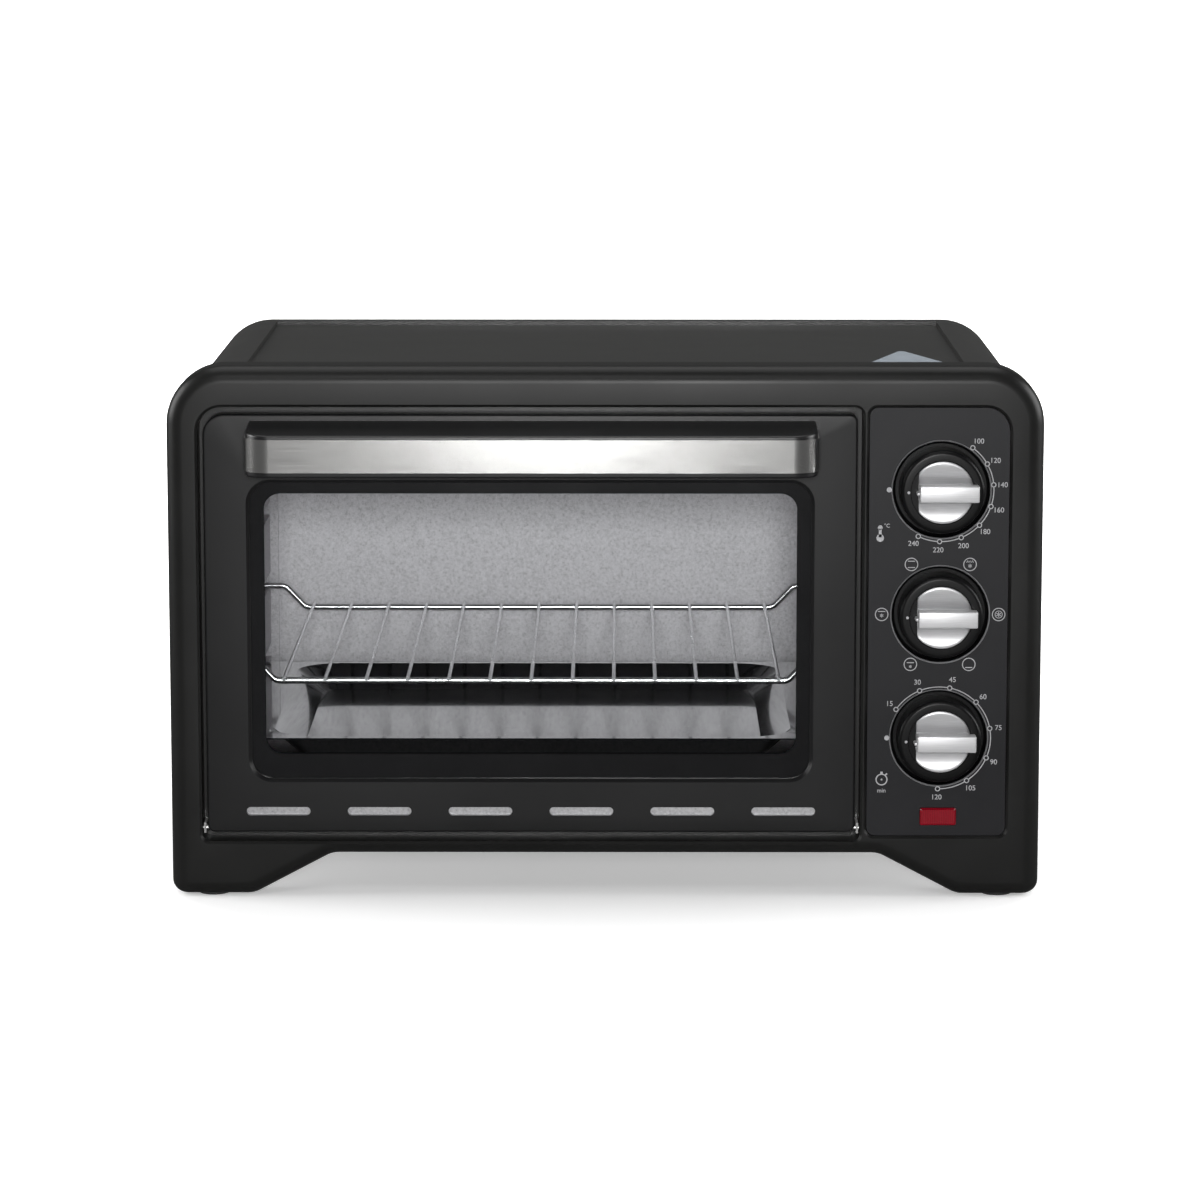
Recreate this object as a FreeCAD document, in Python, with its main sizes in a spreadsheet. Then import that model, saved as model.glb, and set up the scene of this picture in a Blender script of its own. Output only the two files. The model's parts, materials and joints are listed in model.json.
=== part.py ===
"""Countertop toaster oven with a drop-down glass door and three knobs.

X runs to the right, Y to the back and Z up.  The origin is on the surface that
the oven stands on, at the centre of its overall box.  All sizes are in
millimetres.  Depths are counted from the flat front of the plastic front
frame, so a place "face + 17" lies 17 mm behind that plane.
"""
import FreeCAD, Part
import math
import os
import re
import Sketcher

KNOBS = ["timer", "selector", "thermostat"]      # from the lowest to the highest

# ---------------------------------------------------------------- driving sizes
SIZES = {
    # overall
    "frame_wide": 464, "frame_high": 285, "body_deep": 312,
    "handle_reach": 36, "spacer_long": 15, "sheet": 0.8,
    # front frame: one moulding that carries the front feet
    "frame_corner": 31, "frame_round": 9, "skirt_deep": 8, "skirt_corner": 30,
    "skirt_side": 2.7, "skirt_top": 5.7, "frame_wall": 3, "rail_low": 23,
    "foot_wide": 44, "foot_slope": 42, "foot_bend": 14, "foot_corner": 7.5, "pad_proud": 0.8,
    "front_foot_in": 12.5, "hollow_skin": 10, "hollow_side": 5.1, "hollow_up": 12, "hollow_end": 2,
    "hollow_round": 1.5, "frame_screw_in": 9, "frame_screw_up": 5, "frame_screw_down": 12,
    "frame_screw_bite": 5, "screw_grip": 0.02,
    "margin_left": 16.8, "margin_right": 18.3, "margin_top": 21.3, "margin_low": 30,
    "recess_corner": 13, "recess_small": 4.5, "recess_edge": 1.3, "divider": 3.2,
    # door
    "door_side_gap": 2.8, "door_top_gap": 4.2, "door_low_gap": 5, "door_set": 1.5,
    "door_thick": 13, "door_back_gap": 1.7, "door_skin": 2.5, "door_low_wall": 3.7,
    "door_corner": 11, "door_small": 4, "door_inner": 1.5, "door_round": 1.2,
    "window_side": 24.2, "window_top": 36.3, "window_low": 29, "window_corner": 11,
    "window_edge": 1.8, "glass_thick": 4, "glass_lap": 7.7, "glass_play": 0.2, "glass_corner": 3,
    "liner_in": 3, "liner_low": 9, "liner_inset": 1, "liner_corner": 8, "liner_play": 0.3,
    "band_corner": 1, "band_inner": 0.4,
    "slot_long": 34, "slot_high": 4.5, "slot_round": 2.15, "slot_side": 21.05, "slot_up": 11.4,
    "hinge_up": 1.7, "hinge_back": 6, "pin_radius": 1.5, "pin_long": 9, "pin_end_gap": 0.3,
    "running": 0.05, "lug_gap": 0.8, "lug_thick": 1.2, "lug_front": 3.2, "lug_low": 2.4, "lug_top": 3.2,
    "stay_radius": 57, "stay_wide": 6, "stay_thick": 1.2, "stay_gap": 1.2, "stay_room_low": 3,
    "stay_room_top": 1.5, "hook_high": 4,
    # handle
    "handle_in_left": 24.5, "handle_in_right": 22.1, "handle_low": 7.3, "handle_high": 22.2,
    "handle_rise": 3.6, "handle_round": 1.2, "handle_screw_left": 17, "handle_screw_right": 11,
    "handle_screw_deep": 14, "handle_screw_long": 12, "grip_end_left": 24, "grip_end_right": 18,
    "grip_back": 2.5, "grip_corner": 5,
    "handle_corner": 13, "handle_wall": 4, "handle_front": 6, "trim_high": 17.3,
    "trim_lip": 2, "trim_thick": 0.8, "trim_leg": 6,
    # control panel and knobs
    "control_wide": 74.5, "control_low": 33.2, "panel_set": 1.2, "panel_thick": 2.5,
    "panel_gap": 0.3, "knob_low": 86.5, "knob_pitch": 66.65, "knob_side": 38.4,
    "knob_gap": 3.25, "dish_deep": 5, "dish_wall": 2, "dish_edge": 0.8,
    "knob_radius": 22.5, "knob_proud": 10, "knob_round": 2, "knob_wall": 3, "knob_clear": 0.5,
    "boss_wall": 3, "boss_short": 0.5, "segment_sunk": 0.4, "segment_lap": 1.5, "segment_half": 11.2,
    "cap_radius": 16.4, "cap_play": 0.1, "cap_floor": 2.5, "bar_short": 1, "bar_root": 1, "bar_lap": 0.3,
    "cap_flat": 12.6, "cap_sunk": 5.5, "cap_proud": 0.6, "grip_high": 8.7,
    "grip_reach": 18.6, "grip_proud": 8.5, "scoop_radius": 12, "scoop_off": 8.5,
    "scoop_out": 8, "shaft_radius": 3, "shaft_start": 1, "shaft_in": 8, "bore_deep": 9,
    "bush_radius": 4.5, "bush_gap": 0.5, "bush_short": 0.5,
    "lamp_wide": 19.2, "lamp_high": 9.3, "lamp_up": 43.9, "lamp_proud": 1.4, "lamp_edge": 0.9,
    "lamp_play": 0.2, "lamp_corner": 1, "lamp_behind": 1,
    "switch_high": 40, "thermostat_wide": 34, "thermostat_deep": 22, "selector_wide": 40,
    "selector_deep": 32, "timer_radius": 25, "timer_deep": 30,
    "bell_radius": 19, "bell_wall": 1, "bell_high": 9, "bell_up": 3, "bell_post": 2.5,
    "block_long": 45, "block_rear": 25, "block_up": 50, "block_high": 22, "block_thick": 18,
    "block_pitch": 14.5, "block_end": 8, "block_bore": 2.2,
    # oven cavity
    "cavity_inset": 13, "cavity_up": 11, "cavity_drop": 8.5, "cavity_behind": 20,
    "first_runner": 34, "runner_pitch": 42.4, "groove_deep": 6, "groove_high": 8,
    "back_inset": 4, "back_corner": 14, "back_dish": 3,
    "heater_radius": 3.3, "heater_up": 11, "heater_front": 90, "heater_rear": 210,
    "heater_out": 16, "heater_end_gap": 1.5, "bushing_radius": 6, "bushing_long": 8,
    "bushing_step": 1.5, "bushing_neck": 1.5,
    # wire rack and baking tray
    "play": 0.4, "rail_radius": 1.8, "wire_radius": 1, "rack_front": 20,
    "rack_rear": 3, "rack_drop": 12.7, "rack_bend": 10, "rack_shoulder": 12,
    "wire_margin": 27.2, "wire_bend": 6, "weld_gap": 0.02, "rail_inset": 12, "rail_start": 6,
    "tray_front": 27, "tray_rear": 27, "tray_drop": 12, "tray_side": 34.3,
    "tray_slope": 14, "tray_sheet": 0.8, "tray_end_lip": 6, "tray_corner": 10,
    # outer cover, rear and base
    "cover_drop": 6, "cover_side": 3, "cover_corner": 31, "cover_gap": 0.4, "stamp_side": 34.5,
    "stamp_deep": 2.5, "stamp_rear": 10, "flange": 14, "base_up": 24,
    "louvre_long": 60, "louvre_high": 3, "louvre_pitch": 9,
    "louvre_round": 1.2, "louvre_back": 20, "louvre_rear": 84, "rear_louvre_up": 10,
    "rear_louvre_side": 77.55, "base_slots": 70, "base_pitch": 21, "base_slot_left": 160.3,
    "base_slot_right": 57.25, "base_corner": 2, "base_screw_in": 12, "base_screw_front": 40,
    "base_screw_rear": 55, "rear_screw_up": 20, "rear_screw_side": 137.4,
    "sheet_play": 0.1, "plate_play": 0.2, "plate_lap": 1, "shield_rear_gap": 4, "shield_top_gap": 3,
    "spacer_radius": 9, "spacer_rim": 3, "spacer_dish": 1.5, "spacer_side": 103.05, "spacer_up": 95,
    "stem_long": 4, "label_side": 29.5, "label_back": 98, "label_front": 24, "label_rear": 62,
    "label_half": 20, "label_thick": 0.3, "label_round": 2, "label_bend": 3,
    "shield_gap": 10.9, "gland_radius": 7, "cord_radius": 3.6, "gland_side": 62,
    "gland_up": 52, "gland_long": 14, "gland_step": 2.5, "screw_radius": 1.6, "head_radius": 3.4,
    "head_high": 2, "screw_long": 7, "screw_play": 0.2,
    "screw_slot": 0.8, "screw_slot_up": 1.1,
    "rear_foot_wide": 34, "rear_foot_in": 22, "rear_foot_taper": 3,
    "pad_play": 0.1, "pad_radius": 8, "pad_sunk": 1.5,
    # how far a cutting tool runs past a piece, and a step too small to see
    "past": 1, "hair": 0.01,
}

COUNTS = {"door_slots": 6, "rack_wires": 13, "runners": 3, "block_bores": 3, "side_louvres": 8,
          "rear_louvres": 7, "base_slots": 7}

# Lengths and places that follow from the driving sizes.
DERIVED = {
    "half": "frame_wide / 2",
    "face": "handle_reach - (handle_reach + body_deep + spacer_long) / 2",
    "rear": "face + body_deep",
    "plate": "liner_y + sheet + door_back_gap",
    "foot_z": "pad_proud",
    "front_foot_y": "face + front_foot_in",
    "rear_foot_y": "rear - rear_foot_in",
    "foot_x": "half - foot_wide / 2",
    "recess_left": "margin_left - half",
    "control_right": "half - margin_right",
    "control_left": "control_right - control_wide",
    "recess_right": "control_left - divider",
    "recess_top": "frame_high - margin_top",
    "door_left": "recess_left + door_side_gap",
    "door_right": "recess_right - door_side_gap",
    "door_low": "margin_low + door_low_gap",
    "door_top": "recess_top - door_top_gap",
    "door_y": "face + door_set",
    "skin_y": "door_y + door_skin",
    "glass_y": "skin_y + glass_play",
    "glass_back": "glass_y + glass_thick + glass_play",
    "liner_y": "door_y + door_thick",
    "window_left": "door_left + window_side",
    "window_right": "door_right - window_side",
    "window_z": "door_low + window_low",
    "window_z2": "door_top - window_top",
    "slot_z": "door_low + slot_up",
    "slot_pitch": f"(door_right - door_left - 2 * slot_side - slot_long) / {COUNTS['door_slots'] - 1}",
    "stay_x": "runner_left - sheet - stay_gap",
    "hinge_z": "door_low + hinge_up",
    "hinge_y": "face + hinge_back",
    "handle_left": "door_left + handle_in_left",
    "handle_right": "door_right - handle_in_right",
    "handle_z": "window_z2 + handle_low",
    "handle_z2": "handle_z + handle_high",
    "handle_screw_z": "handle_z + handle_high / 2",
    "bar_y": "face - handle_reach + trim_thick",
    "knob_x": "control_left + knob_side",
    "panel_y": "face + panel_set",
    "dish_floor": "panel_y + dish_deep",
    "dish_radius": "knob_radius + knob_gap",
    "knob_front": "face - knob_proud",
    "knob_back": "dish_floor - knob_clear",
    "cap_seat": "knob_front + cap_sunk",
    "cap_face": "knob_front - cap_proud",
    "bracket_y": "plate",
    "bracket_back": "bracket_y + sheet",
    "bell_y": "bracket_back + timer_deep",
    "lamp_back": "panel_y + panel_thick + lamp_behind",
    "cavity_left": "door_left + cavity_inset",
    "cavity_right": "door_right - cavity_inset",
    "cavity_low": "door_low + cavity_up",
    "cavity_top": "door_top - cavity_drop",
    "cavity_y": "plate + sheet",
    "cavity_back": "rear - cavity_behind",
    "cover_half": "half - cover_side",
    "cover_top": "frame_high - cover_drop",
    "cover_y": "plate + sheet + cover_gap",
    "stamp_x": "cover_half - stamp_side",
    "stamp_z": "cover_top - stamp_deep",
    "mid_z": "(base_up + cover_top) / 2",
    "spacer_z": "base_up + spacer_up",
    "label_x": "stamp_x - label_side",
    "label_y": "face + label_back",
    "rack_z": "cavity_low + first_runner + runner_pitch + play + rail_radius",
    "wire_pitch": f"(cavity_right - cavity_left - 2 * wire_margin) / {COUNTS['rack_wires'] - 1}",
    "tray_z": "cavity_low + first_runner + play",
    "runner_left": "cavity_left - groove_deep",
    "runner_right": "cavity_right + groove_deep",
    "shield_x": "cavity_right + shield_gap",
    "gland_x": "half - gland_side",
}

doc = FreeCAD.newDocument("ToasterOven")
sheet = doc.addObject("Spreadsheet::Sheet", "Sizes")
for row, (alias, amount) in enumerate(SIZES.items(), start=1):
    sheet.set(f"A{row}", alias)
    sheet.set(f"B{row}", str(amount))
    sheet.setAlias(f"B{row}", alias)
doc.recompute()

NODES = []


# ---------------------------------------------------------------- small helpers
def formula(text):
    """Write a size out in terms of the sheet's cells."""
    def cell(match):
        word = match.group(0)
        if word in DERIVED:
            return f"({formula(DERIVED[word])})"
        return f"Sizes.{word}" if word in SIZES else word
    return re.sub(r"[A-Za-z_]\w*", cell, str(text))


def number(text):
    """The present value of a size, for the first guess of a sketch or a test."""
    return float(sheet.evalExpression(formula(text)))


def bind(thing, attribute, text):
    thing.setExpression(attribute, formula(text))


def keep(thing, label):
    """Make an object one of the oven's pieces, under its own name."""
    thing.Label = label
    NODES.append(thing)
    return thing


def place(thing, x, y, z, axis=(0, 0, 1), angle=0):
    thing.Placement = FreeCAD.Placement(FreeCAD.Vector(), FreeCAD.Rotation(FreeCAD.Vector(*axis), angle))
    for letter, text in zip("xyz", (x, y, z)):
        bind(thing, f"Placement.Base.{letter}", text)
    return thing


def box(x, y, z):
    """A block between two places along each axis."""
    block = doc.addObject("Part::Box", "block")
    for size, (low, high) in zip(("Length", "Width", "Height"), (x, y, z)):
        bind(block, size, f"({high}) - ({low})")
    return place(block, x[0], y[0], z[0])


def rod(direction, across, along, radius):
    """A cylinder along X, Y or Z; across holds its two other coordinates."""
    bar = doc.addObject("Part::Cylinder", "rod")
    bind(bar, "Radius", radius)
    bind(bar, "Height", f"({along[1]}) - ({along[0]})")
    if direction == "X":
        return place(bar, along[0], across[0], across[1], (0, 1, 0), 90)
    if direction == "Y":
        return place(bar, across[0], along[0], across[1], (1, 0, 0), -90)
    return place(bar, across[0], across[1], along[0])


def fuse(pieces):
    if len(pieces) == 1:
        return pieces[0]
    joined = doc.addObject("Part::MultiFuse", "joined")
    joined.Shapes = pieces
    joined.Refine = True
    return joined


def cut(base, tools):
    left = doc.addObject("Part::Cut", "left")
    left.Base = base
    left.Tool = fuse(tools)
    left.Refine = True
    return left


def common(pieces):
    shared = doc.addObject("Part::MultiCommon", "shared")
    shared.Shapes = pieces
    return shared


def group(pieces):
    """Separate solids that share one node, such as a set of screws."""
    bundle = doc.addObject("Part::Compound", "set")
    bundle.Links = pieces
    return bundle


# ------------------------------------------------------- sketched bodies
def rectangle(x, y, radius=0):
    """Corners of a rectangle; radius is one value or four, from low left round to high left."""
    radii = radius if isinstance(radius, (list, tuple)) else [radius] * 4
    places = [(x[0], y[0]), (x[1], y[0]), (x[1], y[1]), (x[0], y[1])]
    return [(px, py, r) for (px, py), r in zip(places, radii)]


def circle(x, y, radius):
    return ("circle", x, y, radius)


def fix_point(sketch, geometry, position, x, y):
    """Tie a point of a sketch to two sizes, measured from the origin."""
    for kind, text in (("DistanceX", x), ("DistanceY", y)):
        index = sketch.addConstraint(
            Sketcher.Constraint(kind, -1, 1, geometry, position, number(text)))
        bind(sketch, f"Constraints[{index}]", text)


def draw_circle(sketch, x, y, radius):
    centre = FreeCAD.Vector(number(x), number(y), 0)
    ring = sketch.addGeometry(Part.Circle(centre, FreeCAD.Vector(0, 0, 1), number(radius)), False)
    fix_point(sketch, ring, 3, x, y)
    index = sketch.addConstraint(Sketcher.Constraint("Radius", ring, number(radius)))
    bind(sketch, f"Constraints[{index}]", radius)


def draw_outline(sketch, corners):
    """Draw a closed outline of straight lines whose corners may be rounded."""
    count = len(corners)
    points = [FreeCAD.Vector(number(x), number(y), 0) for x, y, _ in corners]
    starts, ends, arcs = list(points), list(points), {}
    for i, (_, _, radius) in enumerate(corners):
        if number(radius) == 0:
            continue
        before = (points[i - 1] - points[i]).normalize()
        after = (points[(i + 1) % count] - points[i]).normalize()
        half_turn = before.getAngle(after) / 2
        reach = number(radius) / math.tan(half_turn)
        bisector = (before + after).normalize()
        middle = points[i] + bisector * (number(radius) * (1 / math.sin(half_turn) - 1))
        ends[i] = points[i] + before * reach
        starts[i] = points[i] + after * reach
        arcs[i] = Part.Arc(ends[i], middle, starts[i])
    lines = [sketch.addGeometry(Part.LineSegment(starts[i], ends[(i + 1) % count]), False)
             for i in range(count)]
    for i, (x, y, radius) in enumerate(corners):
        corner = sketch.addGeometry(Part.Point(points[i]), True)
        fix_point(sketch, corner, 1, x, y)
        come, go = lines[i - 1], lines[i]
        if i not in arcs:
            sketch.addConstraint(Sketcher.Constraint("Coincident", come, 2, corner, 1))
            sketch.addConstraint(Sketcher.Constraint("Coincident", go, 1, corner, 1))
            continue
        arc = sketch.addGeometry(arcs[i], False)
        first = 1 if (sketch.getPoint(arc, 1) - ends[i]).Length < 1e-6 else 2
        sketch.addConstraint(Sketcher.Constraint("PointOnObject", corner, 1, come))
        sketch.addConstraint(Sketcher.Constraint("PointOnObject", corner, 1, go))
        sketch.addConstraint(Sketcher.Constraint("Tangent", come, 2, arc, first))
        sketch.addConstraint(Sketcher.Constraint("Tangent", go, 1, arc, 3 - first))
        index = sketch.addConstraint(Sketcher.Constraint("Radius", arc, number(radius)))
        bind(sketch, f"Constraints[{index}]", radius)


def sketch_on(body, plane, at, outlines):
    """A sketch on one of the body's own planes, moved along that plane's axis."""
    sketch = body.newObject("Sketcher::SketchObject", "outline")
    role = f"{plane}_Plane"
    support = [item for item in body.Origin.OriginFeatures if item.Role == role][0]
    sketch.AttachmentSupport = [(support, "")]
    sketch.MapMode = "FlatFace"
    bind(sketch, "AttachmentOffset.Base.z", f"-({at})" if plane == "XZ" else at)
    for outline in outlines:
        if outline[0] == "circle":
            draw_circle(sketch, *outline[1:])
        else:
            draw_outline(sketch, outline)
    return sketch


def new_body(label):
    return keep(doc.addObject("PartDesign::Body", label), label)


def pad(body, plane, along, *outlines):
    """Add material between two places along the plane's axis."""
    feature = body.newObject("PartDesign::Pad", "pad")
    feature.Profile = sketch_on(body, plane, along[0], outlines)
    bind(feature, "Length", f"({along[1]}) - ({along[0]})")
    feature.Reversed = plane == "XZ"
    return feature


def pocket(body, plane, along, *outlines):
    """Take material away between two places, and see that some was taken."""
    doc.recompute()
    before = body.Shape.Volume
    feature = body.newObject("PartDesign::Pocket", "pocket")
    feature.Profile = sketch_on(body, plane, along[0], outlines)
    bind(feature, "Length", f"({along[1]}) - ({along[0]})")
    feature.Reversed = plane != "XZ"
    doc.recompute()
    if not body.Shape.Volume < before - 1e-3:
        raise RuntimeError(f"a pocket of {body.Label} cuts nothing")
    return feature


def repeat(body, feature, axis, pitch, count):
    """Repeat a pocket in a row along one of the body's own axes."""
    doc.recompute()
    before = body.Shape.Volume
    row = body.newObject("PartDesign::LinearPattern", "row")
    row.Originals = [feature]
    role = f"{axis}_Axis"
    row.Direction = ([item for item in body.Origin.OriginFeatures if item.Role == role][0], [""])
    bind(row, "Length", f"({pitch}) * {count - 1}")
    row.Occurrences = count
    body.Tip = row
    doc.recompute()
    if not body.Shape.Volume < before - 1e-3:
        raise RuntimeError(f"a row of {body.Label} repeats nothing")


def dress(body, kind, size, picked):
    """Fillet or chamfer the edges of the body for which picked(edge) is true."""
    doc.recompute()
    base = body.Tip
    names = [f"Edge{i}" for i, edge in enumerate(base.Shape.Edges, start=1) if picked(edge)]
    if not names:
        raise RuntimeError(f"no edge of {body.Label} to dress")
    feature = body.newObject(f"PartDesign::{kind}", kind.lower())
    feature.Base = (base, names)
    bind(feature, "Radius" if kind == "Fillet" else "Size", size)
    return feature


def in_plane(edge, letter, text):
    """Whether an edge lies all in the plane where X, Y or Z has the given value."""
    bounds = edge.BoundBox
    low = getattr(bounds, letter + "Min")
    high = getattr(bounds, letter + "Max")
    return abs(low - number(text)) < 1e-4 and abs(high - number(text)) < 1e-4


def within(edge, x, z):
    """Whether an edge lies between the given places along X and Z."""
    bounds = edge.BoundBox
    slack = 1e-4
    return (bounds.XMin > number(x[0]) - slack and bounds.XMax < number(x[1]) + slack
            and bounds.ZMin > number(z[0]) - slack and bounds.ZMax < number(z[1]) + slack)


def knob_z(index):
    return f"(knob_low + {index} * knob_pitch)"


# ---------------------------------------------------------------- front frame
def make_front_frame():
    body = new_body("front_frame")
    through = ("face - past", "plate + skirt_deep + past")
    pad(body, "XZ", ("face", "plate + skirt_deep"),
        rectangle(("-half", "half"), ("-frame_round", "frame_high"), [0, 0, "frame_corner", "frame_corner"]))
    dress(body, "Fillet", "frame_round",
          lambda edge: in_plane(edge, "Y", "face") and edge.BoundBox.ZMax > 0)
    # everything under the feet and the arched lower rail
    inner, slope = "half - foot_wide", "half - foot_wide - foot_slope"
    low, side, heel = "-frame_round - past", "half + past", "foot_z + hair"
    under = [(f"-({side})", low, 0), (side, low, 0), (side, "foot_z", 0),
             ("half", heel, 0), (inner, "foot_z", "foot_bend"), (slope, "rail_low", "foot_bend"),
             (f"-({slope})", "rail_low", "foot_bend"), (f"-({inner})", "foot_z", "foot_bend"),
             ("-half", heel, 0), (f"-({side})", "foot_z", 0)]
    pocket(body, "XZ", through, under)
    dress(body, "Fillet", "foot_corner",
          lambda edge: abs(abs(edge.BoundBox.XMin) - number("half")) < number("hair") / 100
          and in_plane(edge, "Z", heel))
    pocket(body, "XZ", through,
           rectangle(("recess_left", "recess_right"), ("margin_low", "recess_top"),
                     ["recess_small"] * 3 + ["recess_corner"]))
    pocket(body, "XZ", through,
           rectangle(("control_left", "control_right"), ("control_low", "recess_top"),
                     ["recess_small"] * 2 + ["recess_corner", "recess_small"]))
    dress(body, "Chamfer", "recess_edge",
          lambda edge: in_plane(edge, "Y", "face")
          and within(edge, ("recess_left", "control_right"), ("margin_low", "recess_top")))
    # the cover slides into the skirt from behind
    side, top = "half - skirt_side", "frame_high - skirt_top"
    pocket(body, "XZ", ("plate", through[1]),
           rectangle((f"-({side})", side), ("base_up", top), [0, 0, "skirt_corner", "skirt_corner"]))
    # hollows in the back of the moulding
    z = ("margin_low + hollow_up", "recess_top - frame_corner")
    pocket(body, "XZ", ("face + hollow_skin", "plate + past"),
           rectangle(("hollow_side - half", "recess_left - frame_wall"), z, "hollow_round"),
           rectangle(("control_right + frame_wall", "half - hollow_side"), z, "hollow_round"),
           rectangle(("frame_corner + hollow_end - half", "half - frame_corner - hollow_end"),
                     ("recess_top + frame_wall", "frame_high - skirt_top - frame_wall"), "hollow_round"))
    pocket(body, "XZ", ("plate - frame_screw_bite - past", "plate + past"),
           *[circle(x, z, "screw_radius + screw_grip") for x, z in frame_screw_places()])
    # pockets for the rubber pads in the front feet
    pads = body.newObject("PartDesign::Pocket", "pocket")
    pads.Profile = sketch_on(body, "XY", "foot_z", [
        circle(f"{sign} * foot_x", "front_foot_y", "pad_radius + pad_play") for sign in (-1, 1)])
    bind(pads, "Length", "pad_sunk")
    pads.Reversed = True


def make_feet():
    """Two moulded rear feet under the base, and a rubber pad under every foot."""
    feet, pads = [], []
    for sign in (-1, 1):
        x = f"{sign} * foot_x"
        foot = doc.addObject("Part::Cone", "foot")
        bind(foot, "Radius1", "rear_foot_wide / 2 - rear_foot_taper")
        bind(foot, "Radius2", "rear_foot_wide / 2")
        bind(foot, "Height", "base_up - foot_z")
        place(foot, x, "rear_foot_y", "foot_z")
        well = rod("Z", (x, "rear_foot_y"), ("foot_z - past", "foot_z + pad_sunk"), "pad_radius + pad_play")
        feet.append(cut(foot, [well]))
        for y in ("front_foot_y", "rear_foot_y"):
            pads.append(rod("Z", (x, y), ("0", "foot_z + pad_sunk"), "pad_radius"))
    keep(group(feet), "rear_feet")
    keep(group(pads), "foot_pads")


# ------------------------------------------------------- cover, rear and base
def make_outer_cover():
    """Wrapped steel sheet: two sides and a top with a shallow stamped tray."""
    def block(label, inset, drop, y, stamp_grow):
        body = doc.addObject("PartDesign::Body", label)
        side = f"cover_half - {inset}"
        pad(body, "XZ", y,
            rectangle((f"-({side})", side), (f"base_up - {drop}", f"cover_top - {inset}"),
                      [0, 0, f"cover_corner - {inset}", f"cover_corner - {inset}"]))
        pocket(body, "XZ", (f"{y[0]} - past", f"rear - stamp_rear + {stamp_grow}"),
               rectangle((f"-stamp_x - {stamp_grow}", f"stamp_x + {stamp_grow}"),
                         (f"stamp_z - {inset}", "cover_top + past")))
        return body

    outside = block("cover_outside", "0", "0", ("cover_y", "rear - sheet"), "0")
    inside = block("cover_inside", "sheet", "past", ("cover_y - past", "rear - sheet * 2"), "sheet")
    doc.recompute()
    shell = cut(outside, [inside])
    back = ("rear - sheet * 3", "rear")
    openings = [box(("flange - cover_half", "cover_half - flange"), back,
                    ("base_up - past", "cover_top - flange - stamp_deep"))]
    louvre_y = "(cover_y + rear) / 2 + louvre_back"
    for index in range(COUNTS["side_louvres"]):
        steps = index - (COUNTS["side_louvres"] - 1) / 2
        z = f"mid_z + {steps} * louvre_pitch"
        for sign in (-1, 1):
            through = sorted((f"{sign} * (cover_half - past)", f"{sign} * (cover_half + past)"), key=number)
            openings.append(box(through, (louvre_y, f"{louvre_y} + louvre_long"),
                                (f"{z} - louvre_high / 2", f"{z} + louvre_high / 2")))
    for x, z in rear_screw_places():
        openings.append(rod("Y", (x, z), back, "screw_radius + screw_play"))
    keep(cut(shell, openings), "outer_cover")


def rear_screw_places():
    side, top = "cover_half - flange / 2", "cover_top - stamp_deep - flange / 2"
    places = [(f"{sign} * ({side})", z) for sign in (-1, 1) for z in ("base_up + rear_screw_up", "mid_z")]
    return places + [(f"{sign} * rear_screw_side", top) for sign in (-1, 1)]


def make_rear_panel():
    body = new_body("rear_panel")
    through = ("rear - sheet - past", "rear + past")
    pad(body, "XZ", ("rear - sheet", "rear"),
        rectangle(("-cover_half", "cover_half"), ("base_up", "cover_top"),
                  [0, 0, "cover_corner", "cover_corner"]))
    holes = [circle(x, z, "screw_radius + screw_play") for x, z in rear_screw_places()]
    holes.append(circle("gland_x", "gland_up", "gland_radius - gland_step"))
    holes += [circle(f"{sign} * spacer_side", "spacer_z", "screw_radius + screw_play") for sign in (-1, 1)]
    pocket(body, "XZ", through, *holes)
    z = ("mid_z + rear_louvre_up", "mid_z + rear_louvre_up + louvre_high")
    louvres = [rectangle((x, f"{x} + louvre_rear"), z, "louvre_round")
               for x in ("-shield_x", "rear_louvre_side")]
    first = pocket(body, "XZ", through, *louvres)
    repeat(body, first, "Z", "louvre_pitch", COUNTS["rear_louvres"])
    keep(group([screw(x, z, "rear") for x, z in rear_screw_places()]), "rear_screws")


def screw(x, z, y):
    """A pan-head screw driven forwards from the plane at y."""
    head = rod("Y", (x, z), (y, f"{y} + head_high"), "head_radius")
    shank = rod("Y", (x, z), (f"{y} - screw_long", y), "screw_radius")
    slot = box((f"{x} - head_radius", f"{x} + head_radius"),
               (f"{y} + screw_slot_up", f"{y} + head_high + past"),
               (f"{z} - screw_slot / 2", f"{z} + screw_slot / 2"))
    return cut(fuse([head, shank]), [slot])


def make_spacers_and_gland():
    """Two stand-offs that keep the oven off the wall, and the empty mains cord gland."""
    spacers = []
    end = "rear + spacer_long"
    for sign in (-1, 1):
        centre = (f"{sign} * spacer_side", "spacer_z")
        post = rod("Y", centre, ("rear", end), "spacer_radius")
        dimple = rod("Y", centre, (f"{end} - spacer_dish", f"{end} + past"), "spacer_radius - spacer_rim")
        stem = rod("Y", centre, ("rear - sheet - stem_long", "rear + past"), "screw_radius")
        spacers.append(fuse([cut(post, [dimple]), stem]))
    keep(group(spacers), "rear_spacers")
    centre = ("gland_x", "gland_up")
    collar = rod("Y", centre, ("rear", "rear + gland_long / 2"), "gland_radius")
    neck = rod("Y", centre, ("rear - gland_long / 2", "rear"), "gland_radius - gland_step - sheet_play")
    bore = rod("Y", centre, ("rear - gland_long", "rear + gland_long"), "cord_radius")
    keep(cut(fuse([collar, neck]), [bore]), "cord_gland")


def base_screw_places():
    return [(f"{sign} * (cover_half - base_screw_in)", y) for sign in (-1, 1)
            for y in ("plate + base_screw_front", "(plate + rear) / 2", "rear - base_screw_rear")]


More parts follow.
